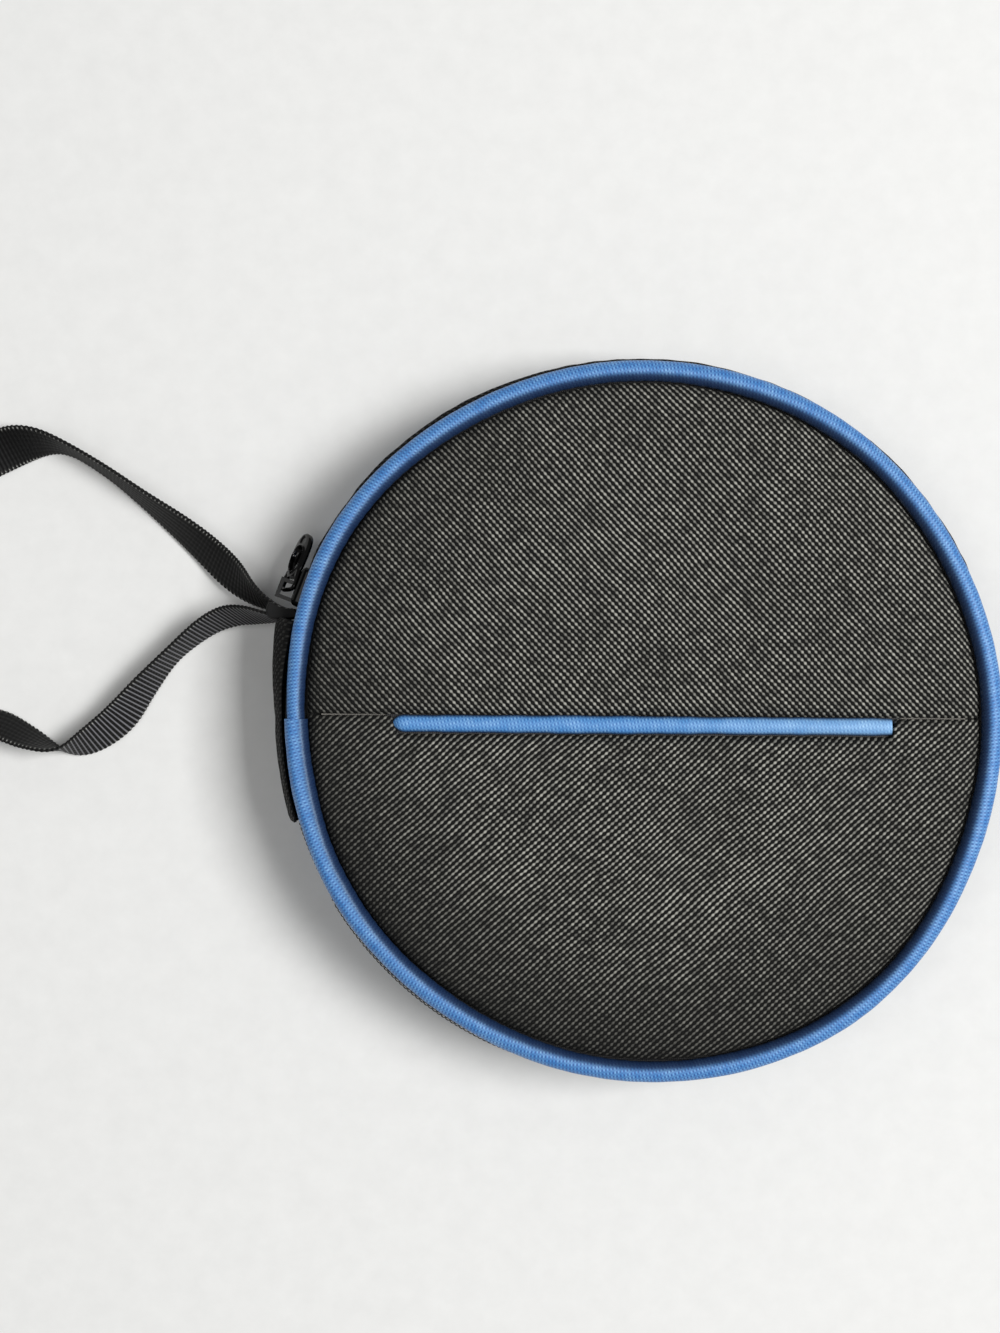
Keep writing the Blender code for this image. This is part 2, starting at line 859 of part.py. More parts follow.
def smooth_route(route, count):
    points = [Vector(p) for p in route]
    points = [2 * points[0] - points[1]] + points + [2 * points[-1] - points[-2]]
    dense = []
    for i in range(1, len(points) - 2):
        a, b, c, d = points[i - 1], points[i], points[i + 1], points[i + 2]
        for k in range(12):
            t = k / 12
            dense.append(
                0.5
                * (
                    2 * b
                    + (c - a) * t
                    + (2 * a - 5 * b + 4 * c - d) * t**2
                    + (3 * b - 3 * c + d - a) * t**3
                )
            )
    dense.append(points[-2])
    lengths = [0.0]
    for a, b in zip(dense, dense[1:]):
        lengths.append(lengths[-1] + (b.xyz - a.xyz).length)
    result = []
    j = 0
    for k in range(count):
        target = lengths[-1] * k / (count - 1)
        while j < len(lengths) - 2 and lengths[j + 1] < target:
            j += 1
        share = (target - lengths[j]) / (lengths[j + 1] - lengths[j])
        result.append(dense[j].lerp(dense[j + 1], share))
    return result, lengths[-1]


strap_line, strap_length = smooth_route([Vector(p) for p in strap_route], strap_steps)
strap_sections = []
for k, point in enumerate(strap_line):
    before = strap_line[max(k - 1, 0)]
    after = strap_line[min(k + 1, strap_steps - 1)]
    ahead = Vector((after.x - before.x, after.y - before.y, after.z - before.z)).normalized()
    across = ahead.cross(Vector((0.0, 0.0, 1.0))).normalized()
    lean = math.radians(point.w)
    upright = across.cross(ahead).normalized()
    width = (upright * math.cos(lean) + across * math.sin(lean)) * strap_width / 2
    face = ahead.cross(width).normalized() * strap_thickness / 2
    reach = abs(width.z) + abs(face.z) + strap_floor_gap
    middle = Vector((point.x, point.y, max(point.z, reach)))
    strap_sections.append(
        [
            (middle + width + face) * mm,
            (middle + width - face) * mm,
            (middle - width - face) * mm,
            (middle - width + face) * mm,
        ]
    )
strap = add_object("wrist_strap", loft("wrist_strap", strap_sections), case, webbing_black)
print("strap length in mm:", round(strap_length, 1))

for item in case.objects:
    if item.name not in ("wrist_strap", "front_zip_coil", "back_zip_coil"):
        smooth(item)


# Moving pieces hang from empties on their fold lines.
def hinge(name, height, pieces, parent=None):
    pivot = bpy.data.objects.new(name, None)
    case.objects.link(pivot)
    pivot.empty_display_size = mid_height * mm
    pivot.matrix_world = Matrix.Translation(Vector((fold_axis_x, 0.0, height)) * mm)
    if parent:
        pivot.parent = parent
        pivot.matrix_parent_inverse = parent.matrix_world.inverted()
    for piece in pieces:
        turn = piece.matrix_world.copy()
        piece.parent = pivot
        piece.matrix_parent_inverse = pivot.matrix_world.inverted()
        piece.matrix_basis = turn
    return pivot


cover_names = ["front_panel", "pocket_panel", "pocket_piping", "pocket_lining", "front_piping"]
cover_names += ["front_board", "front_lining", "front_wall", "front_zip_tape", "front_zip_coil"]
spine_hinge = hinge("spine_hinge", fold_axis_z, [spine, spine_lining])
cover_parts = [bpy.data.objects[name] for name in cover_names]
hinge("cover_hinge", case_height - fold_axis_z, cover_parts, spine_hinge)
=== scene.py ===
import math

import bpy
import numpy as np
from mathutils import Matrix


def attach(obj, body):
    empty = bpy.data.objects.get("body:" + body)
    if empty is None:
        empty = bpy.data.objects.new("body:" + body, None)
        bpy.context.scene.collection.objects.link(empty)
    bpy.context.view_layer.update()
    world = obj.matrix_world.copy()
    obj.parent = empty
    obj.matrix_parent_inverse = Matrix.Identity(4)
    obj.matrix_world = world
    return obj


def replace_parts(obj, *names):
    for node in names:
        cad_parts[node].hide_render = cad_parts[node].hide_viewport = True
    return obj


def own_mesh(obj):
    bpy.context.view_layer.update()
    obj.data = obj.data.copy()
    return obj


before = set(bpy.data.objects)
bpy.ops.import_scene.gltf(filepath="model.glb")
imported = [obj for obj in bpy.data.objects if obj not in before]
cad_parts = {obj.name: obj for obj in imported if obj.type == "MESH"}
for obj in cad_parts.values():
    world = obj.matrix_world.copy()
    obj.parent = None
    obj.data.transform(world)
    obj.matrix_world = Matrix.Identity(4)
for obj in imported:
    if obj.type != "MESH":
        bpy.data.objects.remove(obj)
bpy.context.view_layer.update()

# Round zipped disc case, closed and lying on its back, with its wrist strap in a loose loop.
# Pieces are worked out in millimetres and put into the meshes in metres.

print("frame loaded")


def linear(hexText):
    # each channel is c / 12.92 when dark, otherwise ((c + 0.055) / 1.055) to the power 2.4
    channels = [int(hexText[i:i + 2], 16) / 255 for i in (1, 3, 5)]
    return tuple(c / 12.92 if c < 0.04045 else ((c + 0.055) / 1.055) ** 2.4 for c in channels) + (1.0,)


def addNode(tree, kind, settings=None, links=None):
    node = tree.nodes.new("ShaderNode" + kind)
    if isinstance(settings, str):  # a bare word is the node's operation
        settings = {"operation": settings}
    for key, value in (settings or {}).items():
        if isinstance(key, str) and hasattr(node, key):
            setattr(node, key, value)
        else:
            node.inputs[key].default_value = value
    for key, source in (links or {}).items():  # a node stands for its first output
        tree.links.new(getattr(source, "outputs", [source])[0], node.inputs[key])
    return node


def startMaterial(name):
    # gives the material, and a call that adds a node to it
    material = bpy.data.materials.new(name)
    material.use_nodes = True
    material.node_tree.nodes.clear()
    return material, lambda *parts: addNode(material.node_tree, *parts)


def finishMaterial(node, settings, links):
    shader = node("BsdfPrincipled", settings, links)
    node("OutputMaterial", None, {"Surface": shader})


def ease(value):
    # 0 below 0, 1 above 1, and 3t^2 - 2t^3 between
    t = np.clip(value, 0, 1)
    return t * t * (3 - 2 * t)


def ripples(x, y, seed, size, count=7):
    # sum of sine waves of about the given wavelength, in random directions, scaled to about -1..1
    rng = np.random.RandomState(seed)
    total = 0
    for turn, stretch, shift in zip(rng.rand(count) * 2 * np.pi, rng.rand(count) * 0.9 + 0.6, rng.rand(count) * 6.283):
        total = total + np.sin(6.283 * (x * np.cos(turn) + y * np.sin(turn)) / (size * stretch) + shift)
    return total / math.sqrt(count)


def fullTurn(count):
    return np.linspace(0, 2 * np.pi, count, endpoint=False)


def unit(vectors):
    return vectors / np.linalg.norm(vectors, axis=1, keepdims=True)


def aroundOutline(corners, count):
    # points at even shares of a closed outline's corners, as two arrays
    closed = np.vstack([corners, corners[:1]])
    spread = np.linspace(0, len(corners), count + 1)[:-1]
    return [np.interp(spread, np.arange(len(closed)), closed[:, k]) for k in (0, 1)]


def twoSided(x, y, top, bottom):
    # each row runs out along the top and back along the bottom
    x, y, top, bottom = np.broadcast_arrays(x, y, top, bottom)
    return np.concatenate([np.stack([x, y, top], -1), np.stack([x, y, bottom], -1)[:, ::-1]], 1)


def addAttribute(piece, name, values):
    # one value for each point of the mesh
    attribute = piece.data.attributes.new(name, "FLOAT", "POINT")
    attribute.data.foreach_set("value", np.asarray(values, np.float32).ravel())


def gridPiece(name, points, material, body, wrapU=False, wrapV=False, ends=False, lids=False):
    # One face joins each four neighbours of the grid. wrapU and wrapV close it on itself, ends adds a flat
    # face on the first and last row, and lids one on the first and last column.
    rows, cols = points.shape[:2]
    index = np.arange(rows * cols).reshape(rows, cols)
    if wrapU:
        index = np.vstack([index, index[:1]])
    if wrapV:
        index = np.hstack([index, index[:, :1]])
    quads = np.stack([index[:-1, :-1], index[1:, :-1], index[1:, 1:], index[:-1, 1:]], -1).reshape(-1, 4)
    loose = []
    if ends:
        loose += [index[0, :cols][::-1], index[rows - 1, :cols]]
    if lids:
        loose += [index[:rows, 0], index[:rows, cols - 1][::-1]]
    flat = points.reshape(-1, 3)
    middle = flat.mean(0)
    a, b, c, d = (flat[quads[:, k]] - middle for k in range(4))
    volume = (np.einsum("ij,ij->i", a, np.cross(b, c)) + np.einsum("ij,ij->i", a, np.cross(c, d))).sum()
    for lid in loose:
        p = flat[lid] - middle
        volume += np.einsum("ij,ij->i", np.tile(p[:1], (len(p), 1)), np.cross(p, np.roll(p, -1, 0))).sum()
    # UV in metres along the rows and columns
    close = np.vstack([points, points[:1]]) if wrapU else points
    close = np.hstack([close, close[:, :1]]) if wrapV else close
    stepU = np.linalg.norm(np.diff(close, axis=0), axis=2).mean(1)
    stepV = np.linalg.norm(np.diff(close, axis=1), axis=2).mean(0)
    u, v = (np.concatenate([[0], np.cumsum(step)]) for step in (stepU, stepV))
    uv = np.stack(np.meshgrid(u, v, indexing="ij"), -1) / 1000
    uvQuads = np.stack([uv[:-1, :-1], uv[1:, :-1], uv[1:, 1:], uv[:-1, 1:]], -2).reshape(-1, 4, 2)
    if volume < 0:
        quads, uvQuads = quads[:, ::-1], uvQuads[:, ::-1]
        loose = [lid[::-1] for lid in loose]
    mesh = bpy.data.meshes.new(name)
    mesh.from_pydata((flat / 1000).tolist(), [], quads.tolist() + [lid.tolist() for lid in loose])
    layer = mesh.uv_layers.new(name="UVMap")
    values = np.zeros((len(mesh.loops), 2))
    values[:len(quads) * 4] = uvQuads.reshape(-1, 2)
    layer.data.foreach_set("uv", values.ravel())
    return place(name, mesh, material, body)


def addObject(name, data):
    item = bpy.data.objects.new(name, data)
    bpy.context.scene.collection.objects.link(item)
    return item


def place(name, mesh, material, body):
    mesh.validate()
    mesh.update()
    mesh.shade_smooth()
    mesh.set_sharp_from_angle(angle=math.radians(50))  # steeper edges stay sharp
    mesh.materials.append(material)
    piece = addObject(name, mesh)
    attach(piece, body)
    return piece


def stitchRow(name, starts, finishes, out, radius, material, body, rise=0.35):
    # Each stitch is a short bent rod: its middle line is the straight line plus out * rise * sin(pi t),
    # and its radius swells as the square root of sin(pi t).
    count, rings, sides = len(starts), 5, 6
    t = np.linspace(0, 1, rings)
    swell = np.sin(np.pi * (0.08 + 0.84 * t))
    along = finishes - starts
    lift = rise * swell - 0.25 * rise
    line = starts[:, None] + along[:, None] * t[None, :, None] + out[:, None] * lift[None, :, None]
    side = unit(np.cross(along, out))
    turn = fullTurn(sides)
    spoke = side[:, None] * np.cos(turn)[None, :, None] + out[:, None] * np.sin(turn)[None, :, None]
    points = line[:, :, None] + spoke[:, None] * (radius * np.sqrt(swell))[None, :, None, None]
    index = np.arange(count * rings * sides).reshape(count, rings, sides)
    turned = np.roll(index, -1, 2)
    quads = np.stack([index[:, :-1], turned[:, :-1], turned[:, 1:], index[:, 1:]], -1).reshape(-1, 4)
    faces = quads.tolist() + index[:, 0, ::-1].tolist() + index[:, -1].tolist()
    mesh = bpy.data.meshes.new(name)
    mesh.from_pydata((points.reshape(-1, 3) / 1000).tolist(), [], faces)
    return place(name, mesh, material, body)


def ringPoints(angles, radii, heights):
    # a point of the ring is (r cos a, r sin a, z); angles in degrees, one row for each angle
    a = np.radians(angles)[:, None]
    radii, heights = np.broadcast_arrays(radii, heights)
    return np.stack(np.broadcast_arrays(radii * np.cos(a), radii * np.sin(a), heights), -1)


def ringStitches(name, bearings, degrees, radius, level, thread, body, rise=0.35):
    # stitches round a wall, each from its bearing over so many degrees, bowed outwards
    z = (level + 0 * bearings)[:, None]
    starts = ringPoints(bearings, radius + 0 * z, z)[:, 0]
    finishes = ringPoints(bearings + degrees, radius + 0 * z, z)[:, 0]
    out = ringPoints(bearings + degrees / 2, 1 + 0 * z, 0 * z)[:, 0]
    stitchRow(name, starts, finishes, out, thread, sewingThread, body, rise)


# camera: a copy stand straight above the case

copyStand = dict(x=-30.9, y=11.4, height=529.5, lens=62.93, frameHeight=36.0)
cameraData = bpy.data.cameras.new("copyStandCamera")
cameraData.sensor_fit = "VERTICAL"
cameraData.sensor_height = copyStand["frameHeight"]
cameraData.lens = copyStand["lens"]
camera = addObject("copyStandCamera", cameraData)
camera.location = (copyStand["x"] / 1000, copyStand["y"] / 1000, copyStand["height"] / 1000)
bpy.context.scene.camera = camera
print("camera set")


# materials

smooth = {"interpolation_type": "SMOOTHSTEP"}  # eases in and out
# crown is the pale colour of a painted glint on the warp crowns; the last four values set a painted shade towards the
# rim
caseCloth = dict(thread=0.77, ground="#070707", weft="#141413", crown="#acaba2", relief=0.16, wander=0.46,
                 wanderSize=24.0, paintedShading=0.88, brightWay=(0.643, 0.766, 0.0), paintedShadeFrom=0.036, paintedShadeTo=0.080)


def polyesterWeave(name, coordinate, turn, lean=0.0, paintedGlintStrength=1.0):
    # 600 denier polyester, plain weave, woven from dark yarn and backed with foam: dull, with a pale glint painted
    # on every warp crown, so the eye sees rows of small bright lenses; the last argument scales it. thread is the
    # real spacing in mm. A crown stands where share cos(a + b) + (1 - share) cos(a - b) is high. lean moves that
    # share off a half, so that the crowns join into slanted rows, here more and there less. Painted shade darkens
    # the crowns towards the rim, most on the side away from brightWay.
    material, node = startMaterial(name)
    coords = node("TexCoord")
    where = coords.outputs[coordinate]
    scale = 1000 / caseCloth["thread"]
    drift = node("TexNoise", {"Scale": 1000 / caseCloth["wanderSize"], "Detail": 2.0}, {"Vector": where})
    moved = node("VectorMath", {"operation": "MULTIPLY_ADD", 1: (caseCloth["wander"] / 250,) * 3},
                 {0: drift.outputs["Color"], 2: where})
    mapped = node("Mapping", {"Scale": (scale, scale, scale), "Rotation": (0, 0, math.radians(turn))},
                  {"Vector": moved})
    axes = node("SeparateXYZ", None, {0: mapped})
    waves = []
    for kind, near, far in (("ADD", 0.5 + 0.4 * lean, 0.5 + 0.75 * lean),
                            ("SUBTRACT", 0.5 - 0.4 * lean, 0.5 - 0.75 * lean)):
        share = node("MapRange", {"From Min": 0.35, "From Max": 0.65, "To Min": near, "To Max": far},
                     {"Value": drift})
        both = node("Math", kind, {0: axes.outputs[0], 1: axes.outputs[1]})
        angle = node("Math", {"operation": "MULTIPLY", 1: math.pi}, {0: both})
        wave = node("Math", "COSINE", {0: angle})
        waves.append(node("Math", "MULTIPLY", {0: wave, 1: share}))
    cross = node("Math", "ADD", {0: waves[0], 1: waves[1]})
    crown = node("MapRange", {**smooth, "From Min": -0.18, "From Max": 0.95}, {"Value": cross})
    weft = node("MapRange", {**smooth, "From Min": -0.15, "From Max": -0.95}, {"Value": cross})
    # slub varies the painted crown glint at random, and patch varies the tone at random
    slub = node("TexNoise", {"Scale": 620.0, "Detail": 2.0}, {"Vector": where})
    patch = node("TexNoise", {"Scale": 60.0, "Detail": 2.0}, {"Vector": where})
    paintedGlint = node("MapRange", {"From Min": 0.3, "From Max": 0.7, "To Min": 0.32, "To Max": 1.22}, {"Value": slub})
    tone = node("MapRange", {"From Min": 0.3, "From Max": 0.7, "To Min": 0.85 * paintedGlintStrength, "To Max": 1.1 * paintedGlintStrength},
                {"Value": patch})
    # painted shade: the crowns grow darker towards the rim, most on the side away from brightWay
    flat = node("VectorMath", {"operation": "MULTIPLY", 1: (1.0, 1.0, 0.0)}, {0: coords.outputs["Object"]})
    reach = node("VectorMath", "LENGTH", {0: flat})
    way = node("VectorMath", "NORMALIZE", {0: flat})
    facing = node("VectorMath", {"operation": "DOT_PRODUCT", 1: caseCloth["brightWay"]}, {0: way})
    side = node("MapRange", {"From Min": 1.0, "From Max": -1.0}, {"Value": facing.outputs["Value"]})
    edge = node("MapRange", {**smooth, "From Min": caseCloth["paintedShadeFrom"], "From Max": caseCloth["paintedShadeTo"]},
                {"Value": reach.outputs["Value"]})
    wearAndPaintedShade = node("Math", "MULTIPLY", {0: side, 1: edge})
    paintedRimShade = node("MapRange", {"To Min": 1.0, "To Max": 1.0 - caseCloth["paintedShading"]}, {"Value": wearAndPaintedShade})
    paintedGlintShare = crown
    for factor, clamp in ((paintedGlint, False), (tone, False), (paintedRimShade, True)):
        paintedGlintShare = node("Math", {"operation": "MULTIPLY", "use_clamp": clamp}, {0: paintedGlintShare, 1: factor})
    under = node("Mix", {"data_type": "RGBA", 6: linear(caseCloth["ground"]), 7: linear(caseCloth["weft"])},
                 {0: weft})
    # the pale painted glint laid over the dark yarn
    colour = node("Mix", {"data_type": "RGBA", 7: linear(caseCloth["crown"])}, {0: paintedGlintShare, 6: under.outputs[2]})
    low = node("Math", {"operation": "MULTIPLY", 1: 0.55}, {0: weft})
    height = node("Math", "MAXIMUM", {0: crown, 1: low})
    bump = node("Bump", {"Strength": 0.8, "Distance": caseCloth["relief"] / 1000}, {"Height": height})
    rough = node("MapRange", {"To Min": 0.9, "To Max": 0.44}, {"Value": crown})
    finishMaterial(node, {"IOR": 1.5, "Specular IOR Level": 0.2, "Sheen Weight": 0.01, "Sheen Roughness": 0.5},
                   {"Base Color": colour.outputs[2], "Roughness": rough, "Normal": bump})
    return material


# the last two values give the navy colour and strength of a painted shade where the roll goes into its seam
rollCloth = dict(streak=0.76, across=0.95, wander=0.30, patch=3.2, relief=0.05, paintedSeamShade="#0b1a3e", paintedSeamShadeShare=0.92)


def pipingNylon(name, deep, mid, light, paleToRight=0.0):
    # Light blue nylon satin cut on the bias and rolled over a cord: a deep blue with a broad pale shine along
    # the roll, a fine weave seen as short slanted streaks, and worn paler in soft patches. deep, mid and light
    # are the gaps, the cloth and the crowns. The attribute tuck is 1 where the roll goes down into its seam, and
    # there a painted shade darkens the cloth to navy. The last argument adds to the pale share towards the right end.
    material, node = startMaterial(name)
    coords = node("TexCoord")
    where = coords.outputs["UV"]
    drift = node("TexNoise", {"Scale": 420.0, "Detail": 2.0}, {"Vector": where})
    moved = node("VectorMath", {"operation": "MULTIPLY_ADD", 1: (rollCloth["wander"] / 1000,) * 3},
                 {0: drift.outputs["Color"], 2: where})
    scale = (2000 / rollCloth["streak"], 2000 / rollCloth["across"], 1.0)
    mapped = node("Mapping", {"Scale": scale, "Rotation": (0, 0, math.radians(14))}, {"Vector": moved})
    axes = node("SeparateXYZ", None, {0: mapped})
    waves = []
    for axis in (0, 1):
        angle = node("Math", {"operation": "MULTIPLY", 1: math.pi}, {0: axes.outputs[axis]})
        waves.append(node("Math", "COSINE", {0: angle}))
    broken = node("Math", {"operation": "MULTIPLY_ADD", 1: 0.55, 2: 0.45}, {0: waves[1]})
    cross = node("Math", "MULTIPLY", {0: waves[0], 1: broken})
    crown = node("MapRange", {**smooth, "From Min": -0.8, "From Max": 0.95}, {"Value": cross})
    patch = node("TexNoise", {"Scale": 1000 / rollCloth["patch"], "Detail": 3.0, "Roughness": 0.6}, {"Vector": where})
    fibre = node("TexNoise", {"Scale": 2600.0, "Detail": 1.0}, {"Vector": where})
    wearAndPaintedShade = node("MapRange", {"From Min": 0.35, "From Max": 0.68}, {"Value": patch})
    base = node("Mix", {"data_type": "RGBA", 6: linear(deep), 7: linear(mid)}, {0: crown})
    streak = node("Math", "MULTIPLY", {0: crown, 1: fibre})
    share = node("Math", {"operation": "MULTIPLY_ADD", 2: 0.08}, {0: streak, 1: wearAndPaintedShade})
    # the cloth is paler towards the right end
    spot = node("SeparateXYZ", None, {0: coords.outputs["Object"]})
    fade = node("MapRange", {"From Min": 0.0, "From Max": 0.05, "To Max": paleToRight}, {"Value": spot.outputs[0]})
    pale = node("Math", {"operation": "ADD", "use_clamp": True}, {0: share, 1: fade})
    cloth = node("Mix", {"data_type": "RGBA", 7: linear(light)}, {0: pale, 6: base.outputs[2]})
    # painted shade: the cloth goes navy where the roll goes down into its seam
    tuck = node("Attribute", {"attribute_name": "tuck"})
    paintedSeamShadeMask = node("Math", {"operation": "MULTIPLY", 1: rollCloth["paintedSeamShadeShare"]}, {0: tuck.outputs["Fac"]})
    colour = node("Mix", {"data_type": "RGBA", 7: linear(rollCloth["paintedSeamShade"])}, {0: paintedSeamShadeMask, 6: cloth.outputs[2]})
    bump = node("Bump", {"Strength": 0.6, "Distance": rollCloth["relief"] / 1000}, {"Height": crown})
    finishMaterial(node, {"Roughness": 0.48, "IOR": 1.53, "Specular IOR Level": 0.7,
                          "Specular Tint": linear("#d2e9ff")}, {"Base Color": colour.outputs[2], "Normal": bump})
    return material


strapCloth = dict(rib=1.03, cord=1.35, relief=0.22)


def webbingMaterial(name):
    # Black polypropylene webbing: dull ribs across the strap, warp cords along it, and a row of painted glints
    # beside each woven edge. Ribs are 1.03 mm apart. One face has painted light, grey on the ribs, as a point
    # attribute says, and the other is plain black.
    material, node = startMaterial(name)
    coords = node("TexCoord")
    axes = node("SeparateXYZ", None, {0: coords.outputs["UV"]})
    along = node("Math", {"operation": "MULTIPLY", 1: 2000 * math.pi / strapCloth["rib"]}, {0: axes.outputs[0]})
    around = node("Math", {"operation": "MULTIPLY", 1: 2000 * math.pi / strapCloth["cord"]}, {0: axes.outputs[1]})
    rib = node("Math", "SINE", {0: along})
    cord = node("Math", "COSINE", {0: around})
    half = node("Math", {"operation": "MULTIPLY", 1: 0.5}, {0: cord})
    weave = node("Math", "ADD", {0: rib, 1: half})
    height = node("MapRange", {"From Min": -1.5, "From Max": 1.5}, {"Value": weave})
    # painted glints on the rib crests in a band beside each woven edge
    edge = node("Attribute", {"attribute_name": "selvedge"})
    fleck = node("TexNoise", {"Scale": 900.0, "Detail": 2.0}, {"Vector": coords.outputs["UV"]})
    paintedGlint = node("MapRange", {**smooth, "From Min": 0.2, "From Max": 0.9}, {"Value": rib})
    paintedShine = node("Math", "MULTIPLY", {0: paintedGlint, 1: edge.outputs["Fac"]})
    paintedGlintShare = node("Math", "MULTIPLY", {0: paintedShine, 1: fleck})
    # painted light: one face is grey on its rib crests, standing for the key light falling on it
    paintedShading = node("Attribute", {"attribute_name": "rubbedFace"})
    paintedLitGrey = node("Math", "MULTIPLY", {0: paintedGlint, 1: paintedShading.outputs["Fac"]})
    plain = node("Mix", {"data_type": "RGBA", 6: linear("#050505"), 7: linear("#131313")}, {0: height})
    # the grey of the painted light on one face, then the near-white of the painted glints
    face = node("Mix", {"data_type": "RGBA", 7: linear("#76767a")}, {0: paintedLitGrey, 6: plain.outputs[2]})
    colour = node("Mix", {"data_type": "RGBA", 7: linear("#d8d8d2")}, {0: paintedGlintShare, 6: face.outputs[2]})
    bump = node("Bump", {"Strength": 0.8, "Distance": strapCloth["relief"] / 1000}, {"Height": height})
    finishMaterial(node, {"Roughness": 0.66, "IOR": 1.49, "Specular IOR Level": 0.24, "Sheen Weight": 0.01,
                          "Sheen Roughness": 0.4}, {"Base Color": colour.outputs[2], "Normal": bump})
    return material


def finishRibs(node, height, dark, pale, strength, relief, settings):
    # dark between the ribs and paler on them, which stand up by relief mm
    colour = node("Mix", {"data_type": "RGBA", 6: linear(dark), 7: linear(pale)}, {0: height})
    bump = node("Bump", {"Strength": strength, "Distance": relief / 1000}, {"Height": height})
    finishMaterial(node, settings, {"Base Color": colour.outputs[2], "Normal": bump})


def zipTapeMaterial(name):
    # Black polyester herringbone tape: dull, ribs 0.6 mm apart that change direction every 2.4 mm.
    material, node = startMaterial(name)
    coords = node("TexCoord")
    axes = node("SeparateXYZ", None, {0: coords.outputs["UV"]})
    zigzag = node("Math", {"operation": "PINGPONG", 1: 0.0024}, {0: axes.outputs[1]})
    slant = node("Math", "ADD", {0: axes.outputs[0], 1: zigzag})
    phase = node("Math", {"operation": "MULTIPLY", 1: 2000 * math.pi / 0.6}, {0: slant})
    wave = node("Math", "SINE", {0: phase})
    height = node("MapRange", {"From Min": -1.0}, {"Value": wave})
    finishRibs(node, height, "#0d0d0e", "#2a2a2b", 0.6, 0.10,
               {"Roughness": 0.8, "IOR": 1.5, "Specular IOR Level": 0.35})
    return material


def moulded(name, dark, pale, roughness, grain, relief, **extra):
    # Plain finish with a fine mottle: grain is the size of its spots in mm, and relief their height.
    material, node = startMaterial(name)
    coords = node("TexCoord")
    spots = node("TexNoise", {"Scale": 1000 / grain, "Detail": 4.0, "Roughness": 0.6},
                 {"Vector": coords.outputs["Object"]})
    mask = node("MapRange", {"From Min": 0.3, "From Max": 0.7}, {"Value": spots})
    colour = node("Mix", {"data_type": "RGBA", 6: linear(dark), 7: linear(pale)}, {0: mask})
    gloss = node("MapRange", {"To Min": roughness[0], "To Max": roughness[1]}, {"Value": mask})
    bump = node("Bump", {"Strength": 0.5, "Distance": relief / 1000}, {"Height": mask})
    finishMaterial(node, extra, {"Base Color": colour.outputs[2], "Roughness": gloss, "Normal": bump})
    return material


def taffetaMaterial(name):
    # Black nylon taffeta lining: thin, smooth and a little shiny, with ribs 0.45 mm apart.
    material, node = startMaterial(name)
    coords = node("TexCoord")
    axes = node("SeparateXYZ", None, {0: coords.outputs["Object"]})
    waves = []
    for axis in (0, 1):
        phase = node("Math", {"operation": "MULTIPLY", 1: 2000 * math.pi / 0.45}, {0: axes.outputs[axis]})
        waves.append(node("Math", "SINE", {0: phase}))
    total = node("Math", "ADD", {0: waves[0], 1: waves[1]})
    height = node("MapRange", {"From Min": -2.0, "From Max": 2.0}, {"Value": total})
    finishRibs(node, height, "#0c0c0e", "#29292c", 0.5, 0.08,
               {"Roughness": 0.55, "IOR": 1.53, "Specular IOR Level": 0.4, "Sheen Weight": 0.1})
    return material


upperWeave = polyesterWeave("polyesterPlainWeaveUpper", "Object", 2.3, 0.30)
lowerWeave = polyesterWeave("polyesterPlainWeaveLower", "Object", 3.9, -0.34, 0.97)
backWeave = polyesterWeave("polyesterPlainWeaveBack", "Object", 1.0, 0.3)
# the walls and spine get a copy whose pale crowns are dimmed to 0.14, a painted shade
shadedWallWeave = polyesterWeave("polyesterPlainWeaveWallShaded", "UV", 0.0, 0.2, 0.14)
ringNylon = pipingNylon("blueBiasNylonRing", "#154a98", "#3c8bd4", "#9ccdf3")
slitNylon = pipingNylon("blueBiasNylonSlit", "#2364ae", "#4b97da", "#a2cdf2", 0.34)
webbing = webbingMaterial("blackPolypropyleneWebbing")
herringbone = zipTapeMaterial("blackHerringboneZipTape")
coilNylon = moulded("blackExtrudedNylonCoil", "#121213", "#232325", (0.32, 0.45), 0.8, 0.02, IOR=1.53)
enamel = moulded("blackBakedEnamelOnZinc", "#020202", "#050506", (0.08, 0.16), 1.5, 0.004, IOR=1.5,
                 **{"Specular IOR Level": 0.14})
pullEnamel = moulded("blackPolishedEnamelOnZinc", "#020202", "#040404", (0.05, 0.10), 1.5, 0.003, IOR=1.5,
                     **{"Specular IOR Level": 0.3})
sewingThread = moulded("blackBondedSewingThread", "#141414", "#3b3b3a", (0.5, 0.7), 0.25, 0.03, IOR=1.5)
taffeta = taffetaMaterial("blackNylonTaffeta")
greyBoard = moulded("greyFibreboard", "#8d8a84", "#a8a49c", (0.85, 0.95), 0.9, 0.06, IOR=1.5)
sleeveFilm = moulded("frostedPolypropyleneFilm", "#c9cdd0", "#dfe2e4", (0.22, 0.34), 2.5, 0.01, IOR=1.49,
                     **{"Transmission Weight": 0.35})
sleeveFelt = moulded("whiteSpunbondFelt", "#cfd0cf", "#ececea", (0.85, 0.95), 0.7, 0.05, IOR=1.5)
tablePaper = moulded("matWhiteTable", "#ececea", "#f1f1ef", (0.7, 0.8), 6.0, 0.01, IOR=1.45)
print("materials made")


# front shell: two padded halves, the pocket slit between them

# The padded rim isn't a true circle: the seam wanders in and out where more or less cloth was eased in.
rim = dict(mean=75.48, waves=[(1, 0.25, -64), (2, 0.87, -102), (3, 0.40, 146), (4, 0.24, -170), (5, 0.22, 27),
                              (6, 0.09, 143), (7, 0.16, 10)])


def rimLine(degrees):
    # mean radius plus size times cos(count times angle, less phase) for each wave
    total = rim["mean"]
    for count, size, phase in rim["waves"]:
        total = total + size * np.cos(np.radians(count * degrees - phase))
    return total


